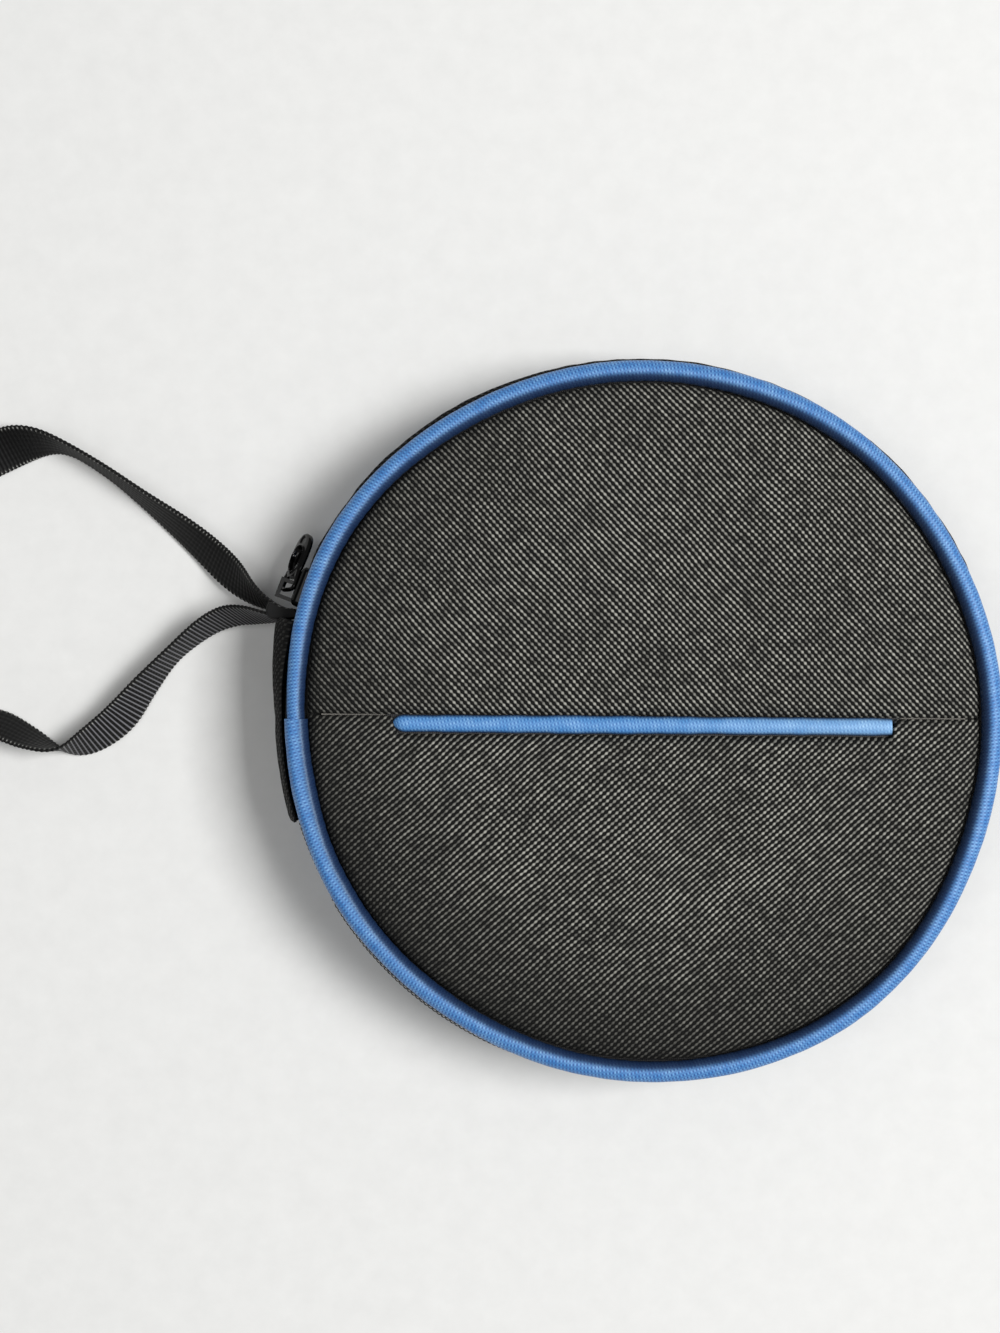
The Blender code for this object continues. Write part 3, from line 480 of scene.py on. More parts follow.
frontShell = dict(edgeIn=2.5, crownHeight=29.8, slope=0.95, slopeReach=13.0, drop=2.6, dropReach=1.1, thickness=1.7,
                  boardTop=26.75, seam=0.62, seamWidth=0.3, slitHalf=53.6, slitLow=-3.25, slitEase=1.6, tilt=-0.0075,
                  columns=280, rows=140)


def shellTop(x, y, seed):
    # crown height less slope exp(-d / slopeReach), the easy dome, and drop exp(-d / dropReach), the turned edge,
    # d being the distance in from the edge, plus a soft waviness and small puckers that die away inwards
    s = frontShell
    bearing = np.degrees(np.arctan2(y, x))
    inward = np.maximum(rimLine(bearing) - s["edgeIn"] - np.hypot(x, y), 0)
    top = s["crownHeight"] - s["slope"] * np.exp(-inward / s["slopeReach"])
    top = top - s["drop"] * np.exp(-inward / s["dropReach"])
    top = top + 0.10 * ripples(x, y, seed, 34) * (1 - np.exp(-inward / 9))
    return top + 0.12 * ripples(bearing, 0 * x, seed + 5, 4.6) * np.exp(-inward / 2.4)


def slitLine(x):
    # seam line, tilted a little with the slit
    return frontShell["seam"] + frontShell["tilt"] * x


# height in mm, bearing and width in degrees of the folds below and above the slit's ends
slitFolds = {-1: [(0.30, 52, 9), (-0.18, 30, 9), (0.15, 88, 12)], 1: [(0.14, 60, 16)]}


def shellHalf(name, side, material, seed):
    # Columns run from the seam line straight to the rim; a section goes up the seam edge, over the top,
    # down the rim and back underneath.
    s = frontShell
    angle = np.linspace(0.011, np.pi - 0.011, s["columns"]) * side
    edge = rimLine(np.degrees(angle)) - s["edgeIn"]
    rimX, rimY = edge * np.cos(angle), edge * np.sin(angle)
    line = slitLine(rimX)
    if side > 0:
        start = line + s["seamWidth"] * 0.5
    else:
        inside = ease((s["slitHalf"] - np.abs(rimX)) / s["slitEase"] + 0.5)
        start = line - s["seamWidth"] * 0.5 - inside * (s["seam"] - s["slitLow"])
    tau = np.linspace(0, 1, s["rows"])
    t = 0.55 * tau + 0.45 * (0.5 - 0.5 * np.cos(np.pi * tau))
    x = np.repeat(rimX[:, None], s["rows"], 1)
    y = start[:, None] + (rimY - start)[:, None] * t[None]
    top = shellTop(x, y, seed)
    fromEdge = np.abs(y - start[:, None])
    slit = ease((s["slitHalf"] + 1.0 - np.abs(x)) / 3)
    roll = 1.1 + 0.8 * slit if side > 0 else 1.1 + 1.2 * slit
    top = top - roll * np.exp(-(fromEdge / (0.5 + 0.4 * slit)) ** 1.2)
    for end in (-1, 1):  # folds fan out from the two ends of the slit, each at its bearing in degrees
        dx, dy = (x - end * (s["slitHalf"] + 0.6)) * -end, (y - line[:, None]) * side
        bearing, reach = np.degrees(np.arctan2(dy, dx)), np.hypot(dx, dy)
        fan = sum(size * np.exp(-((bearing - middle) / width) ** 2) for size, middle, width in slitFolds[side])
        rampIn, fade = (2.5, 13) if side < 0 else (3, 12)
        top = top + fan * ease(reach / rampIn) * np.exp(-reach / fade)
    floor = np.minimum(top - 0.45, np.maximum(top - s["thickness"], s["boardTop"]))
    floor = np.where(np.hypot(x, y) > edge[:, None] - 2.4, top - 1.3, floor)
    piece = gridPiece(name, twoSided(x, y, top, floor), material, "front_cover", wrapV=True, ends=True)
    return piece


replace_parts(shellHalf("frontPad", 1, upperWeave, 3), "front_panel")
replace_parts(shellHalf("pocketPad", -1, lowerWeave, 8), "pocket_panel")

# in mm; cut slants the left end, and leftRound is how far its rounding reaches
slitRoll = dict(left=-53.9, right=53.3, halfWidth=1.9, halfHeight=1.35, height=28.6, centre=-1.2, cut=0.12,
                leftRound=2.6)
s = slitRoll
along = np.linspace(0, 1, 420)[:, None]
turn = fullTurn(28)[None]
slitLength = s["right"] - s["left"]
run = along * 107  # mm along the roll, for its lumps
width = s["halfWidth"] * (1 + 0.035 * ripples(run, 0 * run, 21, 17) + 0.02 * ripples(run, 0 * run, 22, 5))
tuck = 1 - 0.35 * (1 - ease(along * 80)) - 0.25 * (1 - ease((1 - along) * 90))
blunt = np.sqrt(1.03 - (1 - np.minimum(along * slitLength / s["leftRound"], 1)) ** 2)  # the left end is rounded
rollY = width * blunt * np.cos(turn) * (0.25 * tuck + 0.75)
rollZ = s["halfHeight"] * blunt * tuck * np.sin(turn) * (1 + 0.04 * ripples(run, turn * 2, 23, 9))
rollX = s["left"] + slitLength * along + 0 * turn
rollX = rollX - s["cut"] * rollY * (1 - along) ** 30
points = np.stack([rollX, s["centre"] + frontShell["tilt"] * rollX + rollY, s["height"] + rollZ], -1)
slitPiece = gridPiece("slitPiping", points, slitNylon, "front_cover", wrapV=True, ends=True)
# painted shade along both edges of the roll, where it sinks between the pads
addAttribute(slitPiece, "tuck", ease((np.abs(np.cos(turn)) - 0.62) / 0.36) * 0.95 + 0 * along)
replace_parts(slitPiece, "pocket_piping")

# flap of lining seen in the dark of the slit
pocketCloth = dict(radius=55.4, top=27.35, bottom=26.95)
radial = np.linspace(0.004, 1, 30)[None]
angles = fullTurn(160)[:, None]
radius = pocketCloth["radius"] * radial
x, y = radius * np.cos(angles), radius * np.sin(angles)
wave = 0.06 * ripples(x, y, 31, 22)
points = twoSided(x, y, pocketCloth["top"] + wave - 0.06, pocketCloth["bottom"] + wave + 0.06)
pocketPiece = gridPiece("pocketTaffeta", points, taffeta, "front_cover", wrapU=True, lids=True)
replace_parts(pocketPiece, "pocket_lining")
print("front shell made")


# piping rings

rings = dict(halfWidth=2.25, halfHeight=2.4, frontHeight=27.55, backHeight=2.45, steps=900, sides=30)


def pipingRing(name, height, node, body, seed, joint):
    # An oval roll carried along the rim; its two ends lie one in the other at the joint, where the outer end is
    # wider. Its size has soft lumps, and small creases where the cloth is turned.
    s = rings
    share = np.linspace(0, 1, s["steps"])[:, None]
    angle = joint + 4 - 364 * share
    turn = fullTurn(s["sides"])[None]
    length = np.radians(angle) * rim["mean"]
    lumps = 1 + 0.016 * ripples(length, 0 * length, seed, 26) + 0.010 * ripples(length, turn * 3, seed + 1, 7)
    lumps = lumps * (1 - 0.18 * (1 - ease(share * 14))) * (1 + 0.15 * ease((share - 0.80) / 0.19))
    sway = 1.3 * ripples(length, 0 * length, seed + 2, 12)
    crease = 0.04 * np.sin(length * 6.283 / 2.7 + sway) * ease(-np.cos(turn))
    ring = rimLine(angle) + (s["halfWidth"] * lumps + crease) * np.cos(turn)
    level = np.clip(height + (s["halfHeight"] * lumps + crease) * np.sin(turn), 0.02, 29.99)
    a = np.radians(angle)
    points = np.stack([ring * np.cos(a), ring * np.sin(a), level], -1)
    piece = gridPiece(name, points, ringNylon, body, wrapV=True, ends=True)
    # painted shade on the roll's inner side, down in the seam by the pad
    addAttribute(piece, "tuck", ease((-np.cos(turn) - 0.02) / 0.6) + 0 * share)
    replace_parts(piece, node)


pipingRing("frontPiping", rings["frontHeight"], "front_piping", "front_cover", 41, 179.9)
pipingRing("backPiping", rings["backHeight"], "back_piping", "back_case", 51, 184.0)
print("piping made")


# back shell: one padded disc that the case lies on

backShell = dict(edgeIn=2.5, edgeHeight=3.1, fall=5.2, thickness=1.7, boardBottom=3.3)
s = backShell
radial = np.concatenate([[0.004], np.linspace(0.03, 0.86, 60), np.linspace(0.867, 1, 44)])[None]
angles = fullTurn(360)[:, None]
edge = rimLine(np.degrees(angles)) - s["edgeIn"]
radius = edge * radial
x, y = radius * np.cos(angles), radius * np.sin(angles)
inward = edge - radius
# the edge rises as exp(-inward / fall), with a soft waviness inside it and small puckers along it
under = s["edgeHeight"] * np.exp(-inward / s["fall"])
under = under + 0.06 * (1 + ripples(x, y, 61, 30)) * (1 - np.exp(-inward / 9)) * np.exp(-inward / 30)
under = under + 0.10 * ripples(np.degrees(angles) + 0 * x, 0 * x, 62, 4.6) * np.exp(-inward / 3)
under = under + 0.5 * np.exp(-inward / 0.5)
under = np.maximum(under, 0.03)
over = np.maximum(np.minimum(under + s["thickness"], s["boardBottom"]), under + 0.45)
over = np.where(inward < 2.4, under + 1.3, over)
backPad = gridPiece("backPad", twoSided(x, y, under, over), backWeave, "back_case", wrapU=True, lids=True)
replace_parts(backPad, "back_panel")
print("back shell made")


# cloth walls, hemmed against the zip and topstitched

caseHeight = 30.0
walls = dict(clearance=0.45, spineStart=164.3, spineEnd=196.5, steps=620, stitch=2.7, stitchRadius=77.3,
             stitchLevel=20.7)
# how far the cloth above the zip puffs out past the piping, in mm, at bearings in degrees
puff = dict(bearing=[-40, 0, 60, 100, 120, 135, 152, 160, 166], out=[0, 1.1, 1.3, 1.4, 2.0, 2.3, 2.3, 1.5, 0.5])
wallStart, wallEnd = walls["spineStart"] - walls["clearance"], walls["spineEnd"] - 360 + walls["clearance"]
# radius and height of the outer face from the piping down to the folded hem by the zip, for the front shell
wallProfile = np.array([(75.0, 25.0), (75.7, 24.1), (76.5, 23.1), (77.05, 22.3), (77.25, 21.5), (77.2, 20.9),
                        (77.3, 20.5), (77.42, 20.1), (77.38, 19.75), (77.1, 19.55), (76.75, 19.6), (76.6, 19.9),
                        (76.62, 20.5), (76.55, 21.4), (76.4, 22.2), (75.85, 22.9), (75.1, 23.7), (74.5, 24.5)])


def clothWall(name, mirrored, node, body, seed):
    # the wall profile turned about the middle of the case, with shallow ripples outwards
    angle = np.linspace(wallStart, wallEnd, walls["steps"])
    radius, height = (part[None] for part in aroundOutline(wallProfile, 41))
    run = angle[:, None] * 1.34  # mm along the wall
    swing = 0.10 * ripples(run, height, seed, 14) + 0.05 * ripples(run, height, seed + 1, 5)
    swing = swing * ease((24.6 - height) / 1.5) + (rimLine(angle)[:, None] - 74.5) * ease((height - 21.5) / 3.2)
    if mirrored:
        height = caseHeight - height
    else:
        outward = np.interp(angle, puff["bearing"], puff["out"])[:, None]
        swing = swing + outward * np.sin(np.pi * np.clip((height - 20.3) / 4.9, 0, 1)) ** 1.5
    piece = gridPiece(name, ringPoints(angle, radius + swing, height), shadedWallWeave, body, wrapV=True, ends=True)
    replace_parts(piece, node)
    pitch = math.degrees(walls["stitch"] / 77.4)
    level = caseHeight - walls["stitchLevel"] if mirrored else walls["stitchLevel"]
    bearings = np.arange(wallEnd + 0.8, wallStart - 1.6, pitch)
    ringStitches(name + "Topstitch", bearings, pitch * 0.78, walls["stitchRadius"], level, 0.17, body)


clothWall("frontWall", False, "front_wall", "front_cover", 71)
clothWall("backWall", True, "back_wall", "back_case", 75)
print("walls made")


# zip: tapes, interlocked coils, sewn tape ends

zipChain = dict(tapeRadius=76.5, tapeThickness=0.85, coilRadius=77.95, wire=0.27, rise=0.72, reach=1.18,
                pitch=1.16, parting=1.25, slider=158.8, middle=15.0, apart=0.98, openEnd=154.1, lastEnd=-149.5)


def zipTape(name, low, high, start, end, node, body):
    # a thin band of constant radius
    angle = np.linspace(start, end, 420)
    z = np.concatenate([np.linspace(low, high, 16), np.linspace(high, low, 16)])[None]
    half = zipChain["tapeThickness"] / 2
    radius = zipChain["tapeRadius"] + np.concatenate([np.full(16, half), np.full(16, -half)])[None]
    radius = radius + 0.04 * ripples(angle[:, None] * 1.33, z, 81, 11)
    piece = gridPiece(name, ringPoints(angle, radius, z), herringbone, body, wrapV=True, ends=True)
    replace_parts(piece, node)


zipTape("frontZipTape", 16.2, 21.6, zipChain["openEnd"], zipChain["lastEnd"], "front_zip_tape", "front_cover")
zipTape("backZipTape", 8.4, 13.8, wallStart, wallEnd, "back_zip_tape", "back_case")


def zipCoil(name, side, start, end, node, body):
    # A helix wound along the wall: radius R + rise cos p, height z + reach sin p, one turn for each pitch.
    # It parts from the other coil past the slider's neck.
    s = zipChain
    pitch = math.degrees(s["pitch"] / s["coilRadius"])
    turns = int(abs(start - end) / pitch)
    p = np.linspace(0, turns * 2 * np.pi, turns * 14 + 1)
    angle = start - p / (2 * np.pi) * pitch
    axisLevel = s["middle"] + side * (s["apart"] + s["parting"] * ease((angle - s["slider"]) / 2.4))
    radius = s["coilRadius"] + s["rise"] * np.cos(p)
    a = np.radians(angle)
    line = np.stack([radius * np.cos(a), radius * np.sin(a), axisLevel + s["reach"] * np.sin(p) * side], -1)
    ahead = unit(np.gradient(line, axis=0))
    out = line - np.stack([s["coilRadius"] * np.cos(a), s["coilRadius"] * np.sin(a), axisLevel], -1)
    out = unit(out - ahead * np.einsum("ij,ij->i", out, ahead)[:, None])
    across = np.cross(ahead, out)
    turn = fullTurn(6) + 0.5
    spoke = out[:, None] * np.cos(turn)[None, :, None] + across[:, None] * np.sin(turn)[None, :, None]
    points = line[:, None] + s["wire"] * spoke
    piece = gridPiece(name, points, coilNylon, body, wrapV=True, ends=True)
    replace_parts(piece, node)
    bearings = np.arange(end + pitch, start - pitch, pitch)  # lockstitches that hold the coil on its tape
    level = s["middle"] + side * (1.55 + s["parting"] * ease((bearings - s["slider"]) / 2.4))
    ringStitches(name + "Lockstitch", bearings, pitch * 0.9, 78.75, level, 0.12, body, 0.12)


zipCoil("frontCoil", 1, zipChain["openEnd"], zipChain["lastEnd"], "front_zip_coil", "front_cover")
zipCoil("backCoil", -1, wallStart, wallEnd, "back_zip_coil", "back_case")


def zipEnd(name, start, end, node):
    # the tape's end turned out and bar-tacked: a band with a bead along the coil's height
    angle = np.linspace(start, end, 60)
    profile = np.array([(76.62, 20.4), (76.66, 18.0), (76.75, 17.35), (77.5, 17.28), (78.35, 17.05), (78.4, 16.5),
                        (77.9, 16.22), (76.9, 16.2), (76.1, 16.22), (76.08, 18.5), (76.1, 20.4)])
    radius, height = (part[None] for part in aroundOutline(profile, 33))
    radius = radius + 0.04 * ripples(angle[:, None] * 1.3, 0 * height, 85, 3)
    piece = gridPiece(name, ringPoints(angle, radius, height), herringbone, "back_case", wrapV=True, ends=True)
    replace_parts(piece, node)


zipEnd("zipEndUpper", wallStart, 154.4, "zip_end_upper")
zipEnd("zipEndLower", wallEnd, -149.8, "zip_end_lower")
print("zip made")


# cloth spine

spine = dict(start=walls["spineStart"], end=walls["spineEnd"], margin=3.6, outer=80.0, edge=79.0, thickness=1.6,
             rootBulge=2.9, seams=(6.4, 23.6))
s = spine
bearing = np.linspace(s["start"], s["end"], 150)
angle = bearing[:, None]
v = np.linspace(0, 1, 40)[None]
z = s["margin"] + (caseHeight - 2 * s["margin"]) * v
bow = 1 - (2 * v - 1) ** 4
endRound = 1 - np.exp(-np.minimum(angle - s["start"], s["end"] - angle) / 0.35)
radius = s["edge"] - 0.5 + (s["outer"] - s["edge"] + 0.5) * bow * (0.45 + 0.55 * endRound)
# the strap's sewn end pushes the cloth out
radius = radius + s["rootBulge"] * np.clip((179.5 - angle) / 14, 0, 1) * (0.35 + 0.65 * bow)
radius = radius + 0.07 * ripples(angle * 1.38, z, 91, 12) * bow + 0.03 * ripples(angle * 1.38, z, 92, 4) * bow
for level in s["seams"]:  # the cloth sinks in along each row of stitches
    radius = radius - 0.18 * np.exp(-((z - level) / 0.35) ** 2)
inner = np.minimum(radius - 0.5, s["outer"] - s["thickness"])
points = np.concatenate([ringPoints(bearing, radius, z), ringPoints(bearing, inner, z)[:, ::-1]], 1)
spinePiece = gridPiece("spineCloth", points, shadedWallWeave, "spine", wrapV=True, ends=True)
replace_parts(spinePiece, "spine_panel")
pitch = math.degrees(walls["stitch"] / 79.8)
for label, level in zip(("Low", "High"), s["seams"]):
    bearings = np.arange(s["start"] + 0.8, s["end"] - 1.9, pitch)
    ringStitches("spineTopstitch" + label, bearings, pitch * 0.78, 79.4, level, 0.15, "spine", 0.12)

spineInside = dict(radius=77.55, thickness=0.4)
s = spineInside
bearing = np.linspace(spine["start"] + 0.4, spine["end"] - 0.4, 120)
z = np.linspace(*spine["seams"], 30)[None]
radius = s["radius"] + 0.06 * ripples(bearing[:, None] * 1.35, z, 95, 9)
points = np.concatenate([ringPoints(bearing, radius, z), ringPoints(bearing, radius - s["thickness"], z)[:, ::-1]], 1)
piece = gridPiece("spineTaffeta", points, taffeta, "spine", wrapV=True, ends=True)
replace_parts(piece, "spine_lining")
print("spine made")


# inside: linings, sleeves and their binding

def liningDisc(name, low, high, node, body, seed):
    # a flat round cloth with a soft waviness, its edge turned under
    radial = np.concatenate([[0.004], np.linspace(0.04, 0.96, 46), [0.985, 0.995, 1.0]])[None]
    angle = fullTurn(240)[:, None]
    radius = (rimLine(np.degrees(angle)) - 0.9) * radial
    x, y = radius * np.cos(angle), radius * np.sin(angle)
    puckers = 0.03 * ripples(np.degrees(angle) + 0 * x, 0 * x, seed + 1, 5) * ease((radius - 66) / 8)
    wave = 0.05 * ripples(x, y, seed, 24) + puckers
    pinch = 0.12 * ease((radial - 0.98) / 0.02)
    points = twoSided(x, y, high - 0.06 + wave - pinch, low + 0.06 + wave * 0.6 + pinch)
    piece = gridPiece(name, points, taffeta, body, wrapU=True, lids=True)
    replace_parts(piece, node)


liningDisc("frontTaffeta", 23.85, 24.3, "front_lining", "front_cover", 101)
liningDisc("backTaffeta", 5.7, 6.15, "back_lining", "back_case", 105)

sleeves = dict(count=6, first=6.5, step=1.0, radius=66.0, boundX=-54.0, notch=7.0, hem=3.0)


def sleeveLeaf(name, low, high, inset, material, notch, seed):
    # a disc of film cut straight along the binding: the edge is the nearer of the circle and the line
    s = sleeves
    half = math.acos(s["boundX"] / s["radius"])
    turn, bound = np.linspace(-half, half, 200), np.linspace(half, 2 * np.pi - half, 70)[1:-1]
    angle = np.concatenate([turn, bound])[:, None]
    edge = np.concatenate([s["radius"] - notch * np.exp(-(turn / 0.20) ** 4), s["boundX"] / np.cos(bound)])[:, None]
    radial = np.concatenate([[0.004], np.linspace(0.05, 0.94, 34), [0.97, 1.0]])[None]
    radius = (edge - inset) * radial
    x, y = radius * np.cos(angle), radius * np.sin(angle)
    wave = 0.05 * ripples(x, y, seed, 40)
    piece = gridPiece(name, twoSided(x, y, high + wave, low + wave), material, "back_case", wrapU=True, lids=True)
    return piece


sleevePieces = []
for k in range(sleeves["count"]):
    low, seed = sleeves["first"] + k * sleeves["step"], 110 + k
    sleevePieces.append(sleeveLeaf("sleeveFelt%d" % k, low + 0.14, low + 0.30, 0.0, sleeveFelt, 0.0, seed))
    sleevePieces.append(sleeveLeaf("sleeveFilm%d" % k, low + 0.36, low + 0.48, 0.4, sleeveFilm, sleeves["notch"], seed))
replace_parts(sleevePieces[0], "sleeve_pages")

# seam line of each sleeve, sewn through 3 mm in from the rim
for k in range(sleeves["count"]):
    turn = np.arange(-140, 140, 2.4)
    z = np.full((len(turn), 1), sleeves["first"] + k * sleeves["step"] + 0.47)
    seamRadius = sleeves["radius"] - sleeves["hem"] + 0 * z
    starts, finishes = ringPoints(turn, seamRadius, z)[:, 0], ringPoints(turn + 1.8, seamRadius, z)[:, 0]
    keep = (starts[:, 0] > sleeves["boundX"] + 1) & (np.abs(turn) > 20)
    out = np.tile([[0.0, 0.0, 1.0]], (keep.sum(), 1))
    stitchRow("sleeveSeam%d" % k, starts[keep], finishes[keep], out, 0.11, sewingThread, "back_case", rise=0.12)

bindingTape = dict(halfLength=31.5)
s = bindingTape
along = np.linspace(-s["halfLength"], s["halfLength"], 160)[:, None]
# x and z of the tape folded round the sleeves' edges
fold = np.array([(-54.2, 12.05), (-56.5, 12.12), (-59.0, 12.1), (-59.75, 11.7), (-59.95, 9.3), (-59.75, 6.8),
                 (-59.0, 6.42), (-56.5, 6.38), (-54.2, 6.42), (-54.2, 6.5), (-58.0, 6.55), (-58.3, 9.3),
                 (-58.0, 11.95), (-54.2, 11.98)])
x, z = (part[None] for part in aroundOutline(fold, 44))
x = x + 0.05 * ripples(along, 0 * z, 121, 8)
points = np.stack(np.broadcast_arrays(x, along, z), -1)
piece = gridPiece("sleeveBindingTape", points, herringbone, "back_case", wrapV=True, ends=True)
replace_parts(piece, "sleeve_binding")
print("inside made")


# wrist strap: flat webbing sewn in by both ends

strap = dict(width=10.0, thickness=1.0, floorGap=0.1, samples=1060)
# x, y and z in mm, and the lean in degrees, of the webbing along its way, about 265 mm in all
strapRoute = np.array([
    (-76.5, 23.75, 15, 0), (-78.6, 24.1, 14.9, 0), (-82.4, 26.0, 12.9, 12), (-87.0, 28.9, 9.4, 32),
    (-91.5, 32.6, 6.6, 44), (-96.9, 37.6, 4.8, 42), (-102.3, 42.3, 4.8, 34), (-110.7, 48.8, 5.2, 20),
    (-119.9, 55.6, 5.4, 12), (-129.2, 60.9, 5.2, 13), (-136.7, 62.0, 4.2, 42), (-144.2, 60.0, 1.9, 76),
    (-156.0, 53.5, 1.0, 86), (-168.0, 42.0, 1.4, 78), (-175.5, 27.0, 3.4, 58), (-175.5, 12.0, 4.9, 36),
    (-168.0, 2.0, 5.2, 30), (-157.0, -1.6, 5.0, 34), (-145.5, -1.2, 4.7, 36), (-137.5, -4.6, 4.9, 26),
    (-130.9, -7.2, 5.6, 2), (-124.6, -6.0, 5.2, -30), (-117.0, -0.6, 4.9, -42), (-111.0, 6.8, 5.2, -28),
    (-104.9, 13.8, 5.5, -16), (-97.4, 20.0, 6.2, -22), (-91.6, 22.6, 8.0, -26), (-86.4, 23.0, 11.0, -20),
    (-81.4, 22.6, 13.9, -8), (-78.6, 22.45, 14.9, 0), (-76.9, 22.45, 15.0, 0)])


def routeLine(route, count):
    # Catmull-Rom curve through the route's points, then taken at even steps of length
    padded = np.vstack([2 * route[0] - route[1], route, 2 * route[-1] - route[-2]])
    a, b, c, d = padded[:-3, None], padded[1:-2, None], padded[2:-1, None], padded[3:, None]
    t = np.linspace(0, 1, 24, endpoint=False)[None, :, None]
    dense = 0.5 * (2 * b + (c - a) * t + (2 * a - 5 * b + 4 * c - d) * t ** 2 + (3 * b - 3 * c + d - a) * t ** 3)
    dense = np.vstack([dense.reshape(-1, 4), route[-1:]])
    length = np.concatenate([[0], np.cumsum(np.linalg.norm(np.diff(dense[:, :3], axis=0), axis=1))])
    even = np.linspace(0, length[-1], count)
    return np.stack([np.interp(even, length, dense[:, k]) for k in range(4)], -1), length[-1]


s = strap
line, strapLength = routeLine(strapRoute, s["samples"])
kernel = np.hanning(31) / np.hanning(31).sum()
soft = np.stack([np.convolve(np.pad(line[:, k], 15, mode="edge"), kernel, "valid") for k in range(4)], -1)
fadeEnds = ease(np.minimum(np.arange(s["samples"]), np.arange(s["samples"])[::-1]) / 30.0)[:, None]
line = line + (soft - line) * fadeEnds
ahead = unit(np.gradient(line[:, :3], axis=0))
across = unit(np.cross(ahead, [0.0, 0.0, 1.0]))
upright = np.cross(across, ahead)
lean = np.radians(line[:, 3])[:, None]
widthWay = (upright * np.cos(lean) + across * np.sin(lean)) * s["width"] / 2
faceWay = unit(np.cross(ahead, widthWay)) * s["thickness"] / 2
reach = np.abs(widthWay[:, 2]) + np.abs(faceWay[:, 2]) + s["floorGap"]
line[:, 2] = np.maximum(line[:, 2], reach)
# section: a flat oblong with rounded ends, thicker along both woven edges
turn = fullTurn(36)
w = np.sign(np.cos(turn)) * np.abs(np.cos(turn)) ** 0.55
f = np.sign(np.sin(turn)) * np.abs(np.sin(turn)) ** 0.45
edgeness = ease((np.abs(w) - 0.78) / 0.12)
rib = np.sin(2 * np.pi * np.linspace(0, strapLength, s["samples"]) / strapCloth["rib"])[:, None]
sideways = w * (0.99 + 0.012 * edgeness) * (1 + 0.02 * edgeness * rib)
outwards = f * (1 + (0.06 + 0.10 * edgeness) * rib) * (0.86 + 0.16 * edgeness)
points = line[:, None, :3] + widthWay[:, None] * sideways[:, :, None] + faceWay[:, None] * outwards[:, :, None]
points[:, :, 2] = np.maximum(points[:, :, 2], 0.04)
strapPiece = gridPiece("wristStrapWebbing", points, webbing, "back_case", wrapV=True, ends=True)
# where the painted glints go: a band just inside each woven edge
addAttribute(strapPiece, "selvedge", np.tile(np.exp(-((np.abs(w) - 0.92) / 0.04) ** 2), s["samples"]))
# painted light on one face of the strap
addAttribute(strapPiece, "rubbedFace", np.tile(ease(f / 0.5) * ease((0.93 - np.abs(w)) / 0.05), s["samples"]))
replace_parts(strapPiece, "wrist_strap")
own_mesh(strapPiece)
print("strap made, mm:", round(strapLength, 1))


# sewn block of folded webbing where both ends of the strap meet
rootBlock = dict(low=9.9, high=20.3)
s = rootBlock
plan = np.array([(-75.2, 22.0), (-78.2, 21.75), (-80.6, 21.75), (-81.7, 22.2), (-82.2, 23.2), (-82.1, 24.6),
                 (-81.6, 25.55), (-80.8, 25.45), (-79.4, 24.55), (-77.6, 24.0), (-75.6, 24.1), (-74.9, 23.1)])
planX, planY = aroundOutline(plan, 72)
for _ in range(3):  # each point moves towards its neighbours' mean, which rounds the corners
    planX = (np.roll(planX, 1) + 2 * planX + np.roll(planX, -1)) / 4
    planY = (np.roll(planY, 1) + 2 * planY + np.roll(planY, -1)) / 4
level = np.concatenate([[0.0, 0.004, 0.02], np.linspace(0.05, 0.95, 22), [0.98, 0.996, 1.0]])[:, None]
tall = (s["high"] - s["low"]) * level
shrink = 1 - 0.16 * np.abs(2 * level - 1) ** 14 + 0.012 * np.sin(6.283 * tall / strapCloth["rib"])
centreX, centreY = planX.mean(), planY.mean()
blockX, blockY = centreX + (planX - centreX) * shrink, centreY + (planY - centreY) * shrink
points = np.stack(np.broadcast_arrays(blockX, blockY, s["low"] + tall), -1)
blockPiece = gridPiece("strapRootBlock", points[::-1], webbing, "back_case", wrapV=True, ends=True)
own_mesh(blockPiece)
print("strap root made")


# zip pull: a cast plate with a thumb hollow, on a wire eye

zipPull = dict(pivot=(-77.84, 28.37, 15.0), along=(0.218, 0.934, -0.285), face=(-0.760, 0.346, 0.552),
               across=(0.6145, 0.0934, 0.7834), turn=-6.0, half=0.75, hollowMiddle=7.3, hollowLong=3.3,
               hollowWide=2.15, hollowDeep=0.95, rimHigh=0.36, dimpleMiddle=11.9, dimpleLong=1.2, dimpleWide=1.1,
               dimpleDeep=0.3, wire=0.5, root=0.85)
# half the plate's width along its length
pullOutline = np.array([(2.9, 0.9), (3.1, 1.7), (3.5, 2.1), (4.2, 2.4), (5.6, 2.85), (7.9, 3.05), (10.4, 3.1),
                        (11.6, 2.85), (12.5, 2.3), (13.1, 1.65), (13.5, 0.95), (13.68, 0.35), (13.7, 0.05)])


def pullPlace(points):
    # the pull's own frame, with x along it, y out of its face and z along its eye, set on the slider
    s = zipPull
    frameRows = np.array([s["along"], s["face"], s["across"]])
    turn = math.radians(s["turn"])
    spin = np.array([[math.cos(turn), math.sin(turn), 0], [-math.sin(turn), math.cos(turn), 0], [0, 0, 1]])
    return points @ frameRows @ spin + np.array(s["pivot"])


s = zipPull
x = np.interp(np.linspace(0, 1, 110) ** 0.9, np.linspace(0, 1, 110), np.linspace(2.9, 13.7, 110))[:, None]
wide = np.interp(x[:, 0], pullOutline[:, 0], pullOutline[:, 1])
wide = np.convolve(np.pad(wide, 3, mode="edge"), np.ones(7) / 7, "valid")[:, None]
q = -np.cos(np.linspace(0, np.pi, 56))[None]
z = wide * q
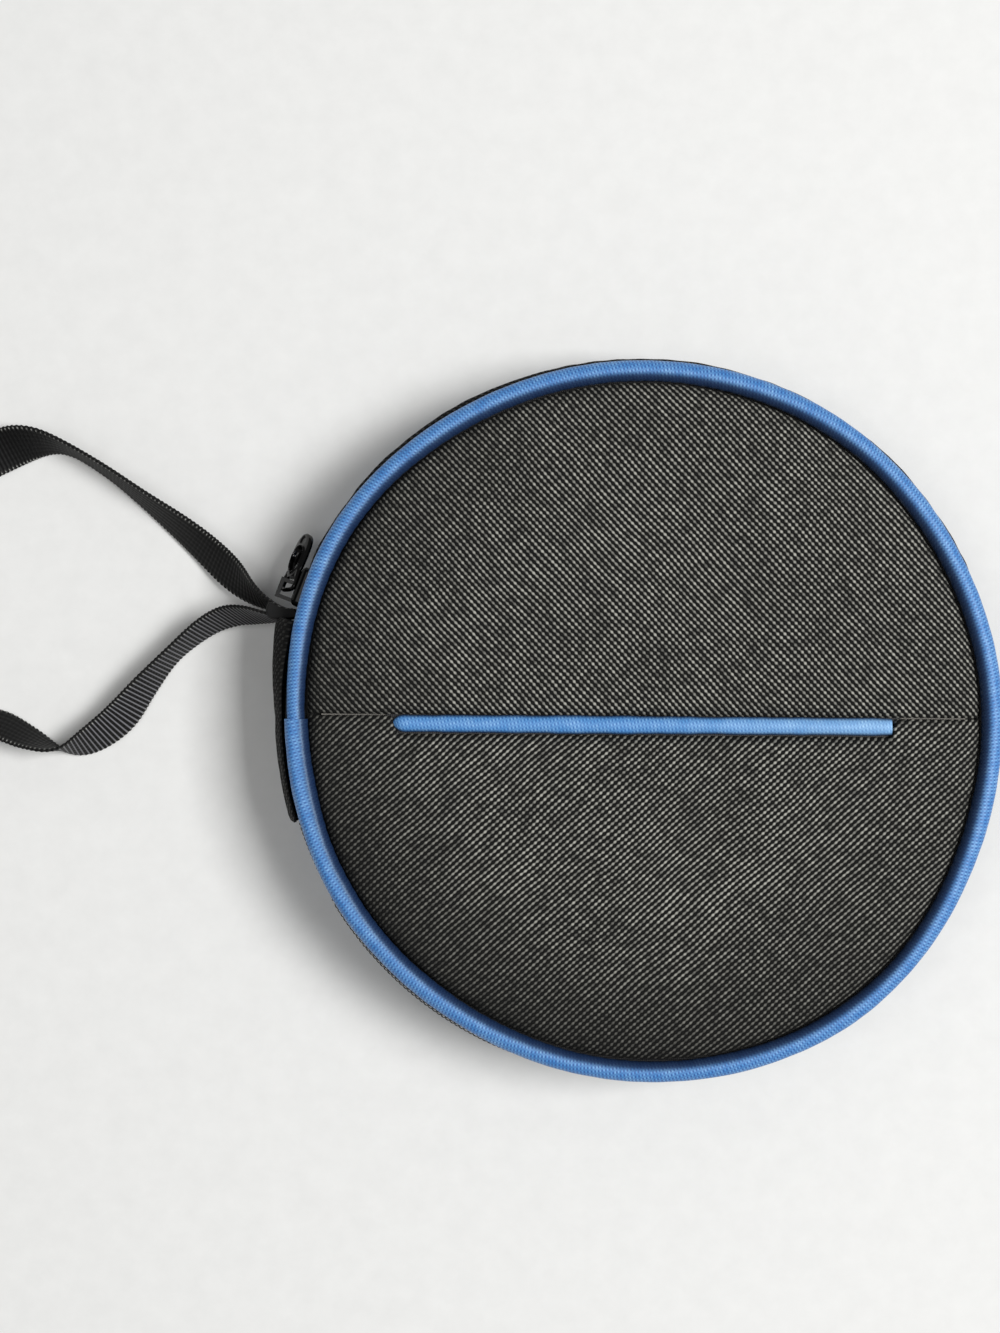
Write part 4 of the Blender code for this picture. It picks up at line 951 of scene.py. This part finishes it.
# dome half (1 - q^4)^0.5, less the hollow, an ellipse with a raised rim, and less a shallow dimple near the tip
dome = s["half"] * np.sqrt(1 - q ** 4) * np.minimum(1, wide / 1.2) ** 0.5
into = 1 - ((x - s["hollowMiddle"]) / s["hollowLong"]) ** 2 - (z / (s["hollowWide"] * (0.82 + 0.18 * (x - 4) / 6))) ** 2
front = dome - s["hollowDeep"] * ease(into / 0.42) + s["rimHigh"] * np.exp(-((into + 0.02) / 0.17) ** 2)
dimple = 1 - ((x - s["dimpleMiddle"]) / s["dimpleLong"]) ** 2 - (z / s["dimpleWide"]) ** 2
front = front - s["dimpleDeep"] * ease(dimple / 0.8)
back, backZ = -dome[:, -2:0:-1], z[:, -2:0:-1]
points = np.concatenate([np.stack([x + 0 * z, front, z], -1), np.stack([x + 0 * back, back, backZ], -1)], 1)
pullPlate = gridPiece("zipPullPlate", pullPlace(points), pullEnamel, "pull", wrapV=True, ends=True)
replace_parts(pullPlate, "zip_pull")
# the eye: a wire carried along a U, thicker where it comes out of the plate
path = np.array([(4.6, 1.7), (3.6, 1.95), (2.4, 2.3), (1.2, 2.45), (0.45, 2.2), (0.06, 1.6), (0.0, 0.9), (0.0, 0.0)])
path = np.vstack([path, path[-2::-1] * [1, -1]])
share = np.concatenate([[0], np.cumsum(np.linalg.norm(np.diff(path, axis=0), axis=1))])
even = np.linspace(0, share[-1], 90)
wireX, wireZ = (np.convolve(np.pad(np.interp(even, share, path[:, k]), 4, mode="edge"), np.ones(9) / 9, "valid")
                for k in (0, 1))
thick = s["wire"] + (s["root"] - s["wire"]) * ease((wireX - 1.4) / 2.6)
ahead = unit(np.stack([np.gradient(wireX), np.gradient(wireZ)], -1))
turn = fullTurn(16)[None]
spoke = thick[:, None] * np.cos(turn)
points = np.stack([wireX[:, None] - spoke * ahead[:, 1:], np.minimum(thick, 0.7)[:, None] * np.sin(turn),
                   wireZ[:, None] + spoke * ahead[:, :1]], -1)
pullEye = gridPiece("zipPullEye", pullPlace(points), pullEnamel, "pull", wrapV=True, ends=True)
print("zip pull made")


# finishes of the solids that stay

for node, material in (("zip_slider", enamel), ("front_board", greyBoard), ("back_board", greyBoard)):
    solid = bpy.data.objects[node]
    for slotIndex in range(len(solid.material_slots)):
        solid.material_slots[slotIndex].material = material


# table and light

table = dict(size=3000.0, drop=0.02)
half = table["size"] / 2000
corners = [(x, y, -table["drop"] / 1000) for x in (-half, half) for y in (-half, half)]
tableMesh = bpy.data.meshes.new("tableTop")
tableMesh.from_pydata(corners, [], [(0, 2, 3, 1)])
tableMesh.materials.append(tablePaper)
tableTop = addObject("tableTop", tableMesh)


def softBox(name, spot, aim, size, watts):
    # a square area lamp, turned so that it looks from its spot to the aimed point, all in metres
    lamp = bpy.data.lights.new(name, "AREA")
    lamp.shape = "SQUARE"
    lamp.size = size
    lamp.energy = watts
    item = addObject(name, lamp)
    item.location = spot
    way = np.array(aim) - np.array(spot)
    item.rotation_euler = (math.acos(-way[2] / np.linalg.norm(way)), 0, math.atan2(way[1], way[0]) - math.pi / 2)


lamps = dict(keySoftBox=((0.80, 0.055, 1.42), (0, 0, 0), 0.62, 21.9),
             topSoftBox=((-0.30, -0.02, 1.35), (-0.05, 0, 0), 0.6, 3.0), sky=0.195)
for name in ("keySoftBox", "topSoftBox"):
    softBox(name, *lamps[name])
world = bpy.data.worlds.new("studio")
world.use_nodes = True
sky = world.node_tree.nodes["Background"]
sky.inputs["Color"].default_value = linear("#ffffff")
sky.inputs["Strength"].default_value = lamps["sky"]
bpy.context.scene.world = world
bpy.context.scene.view_settings.view_transform = "Standard"
print("stage set")
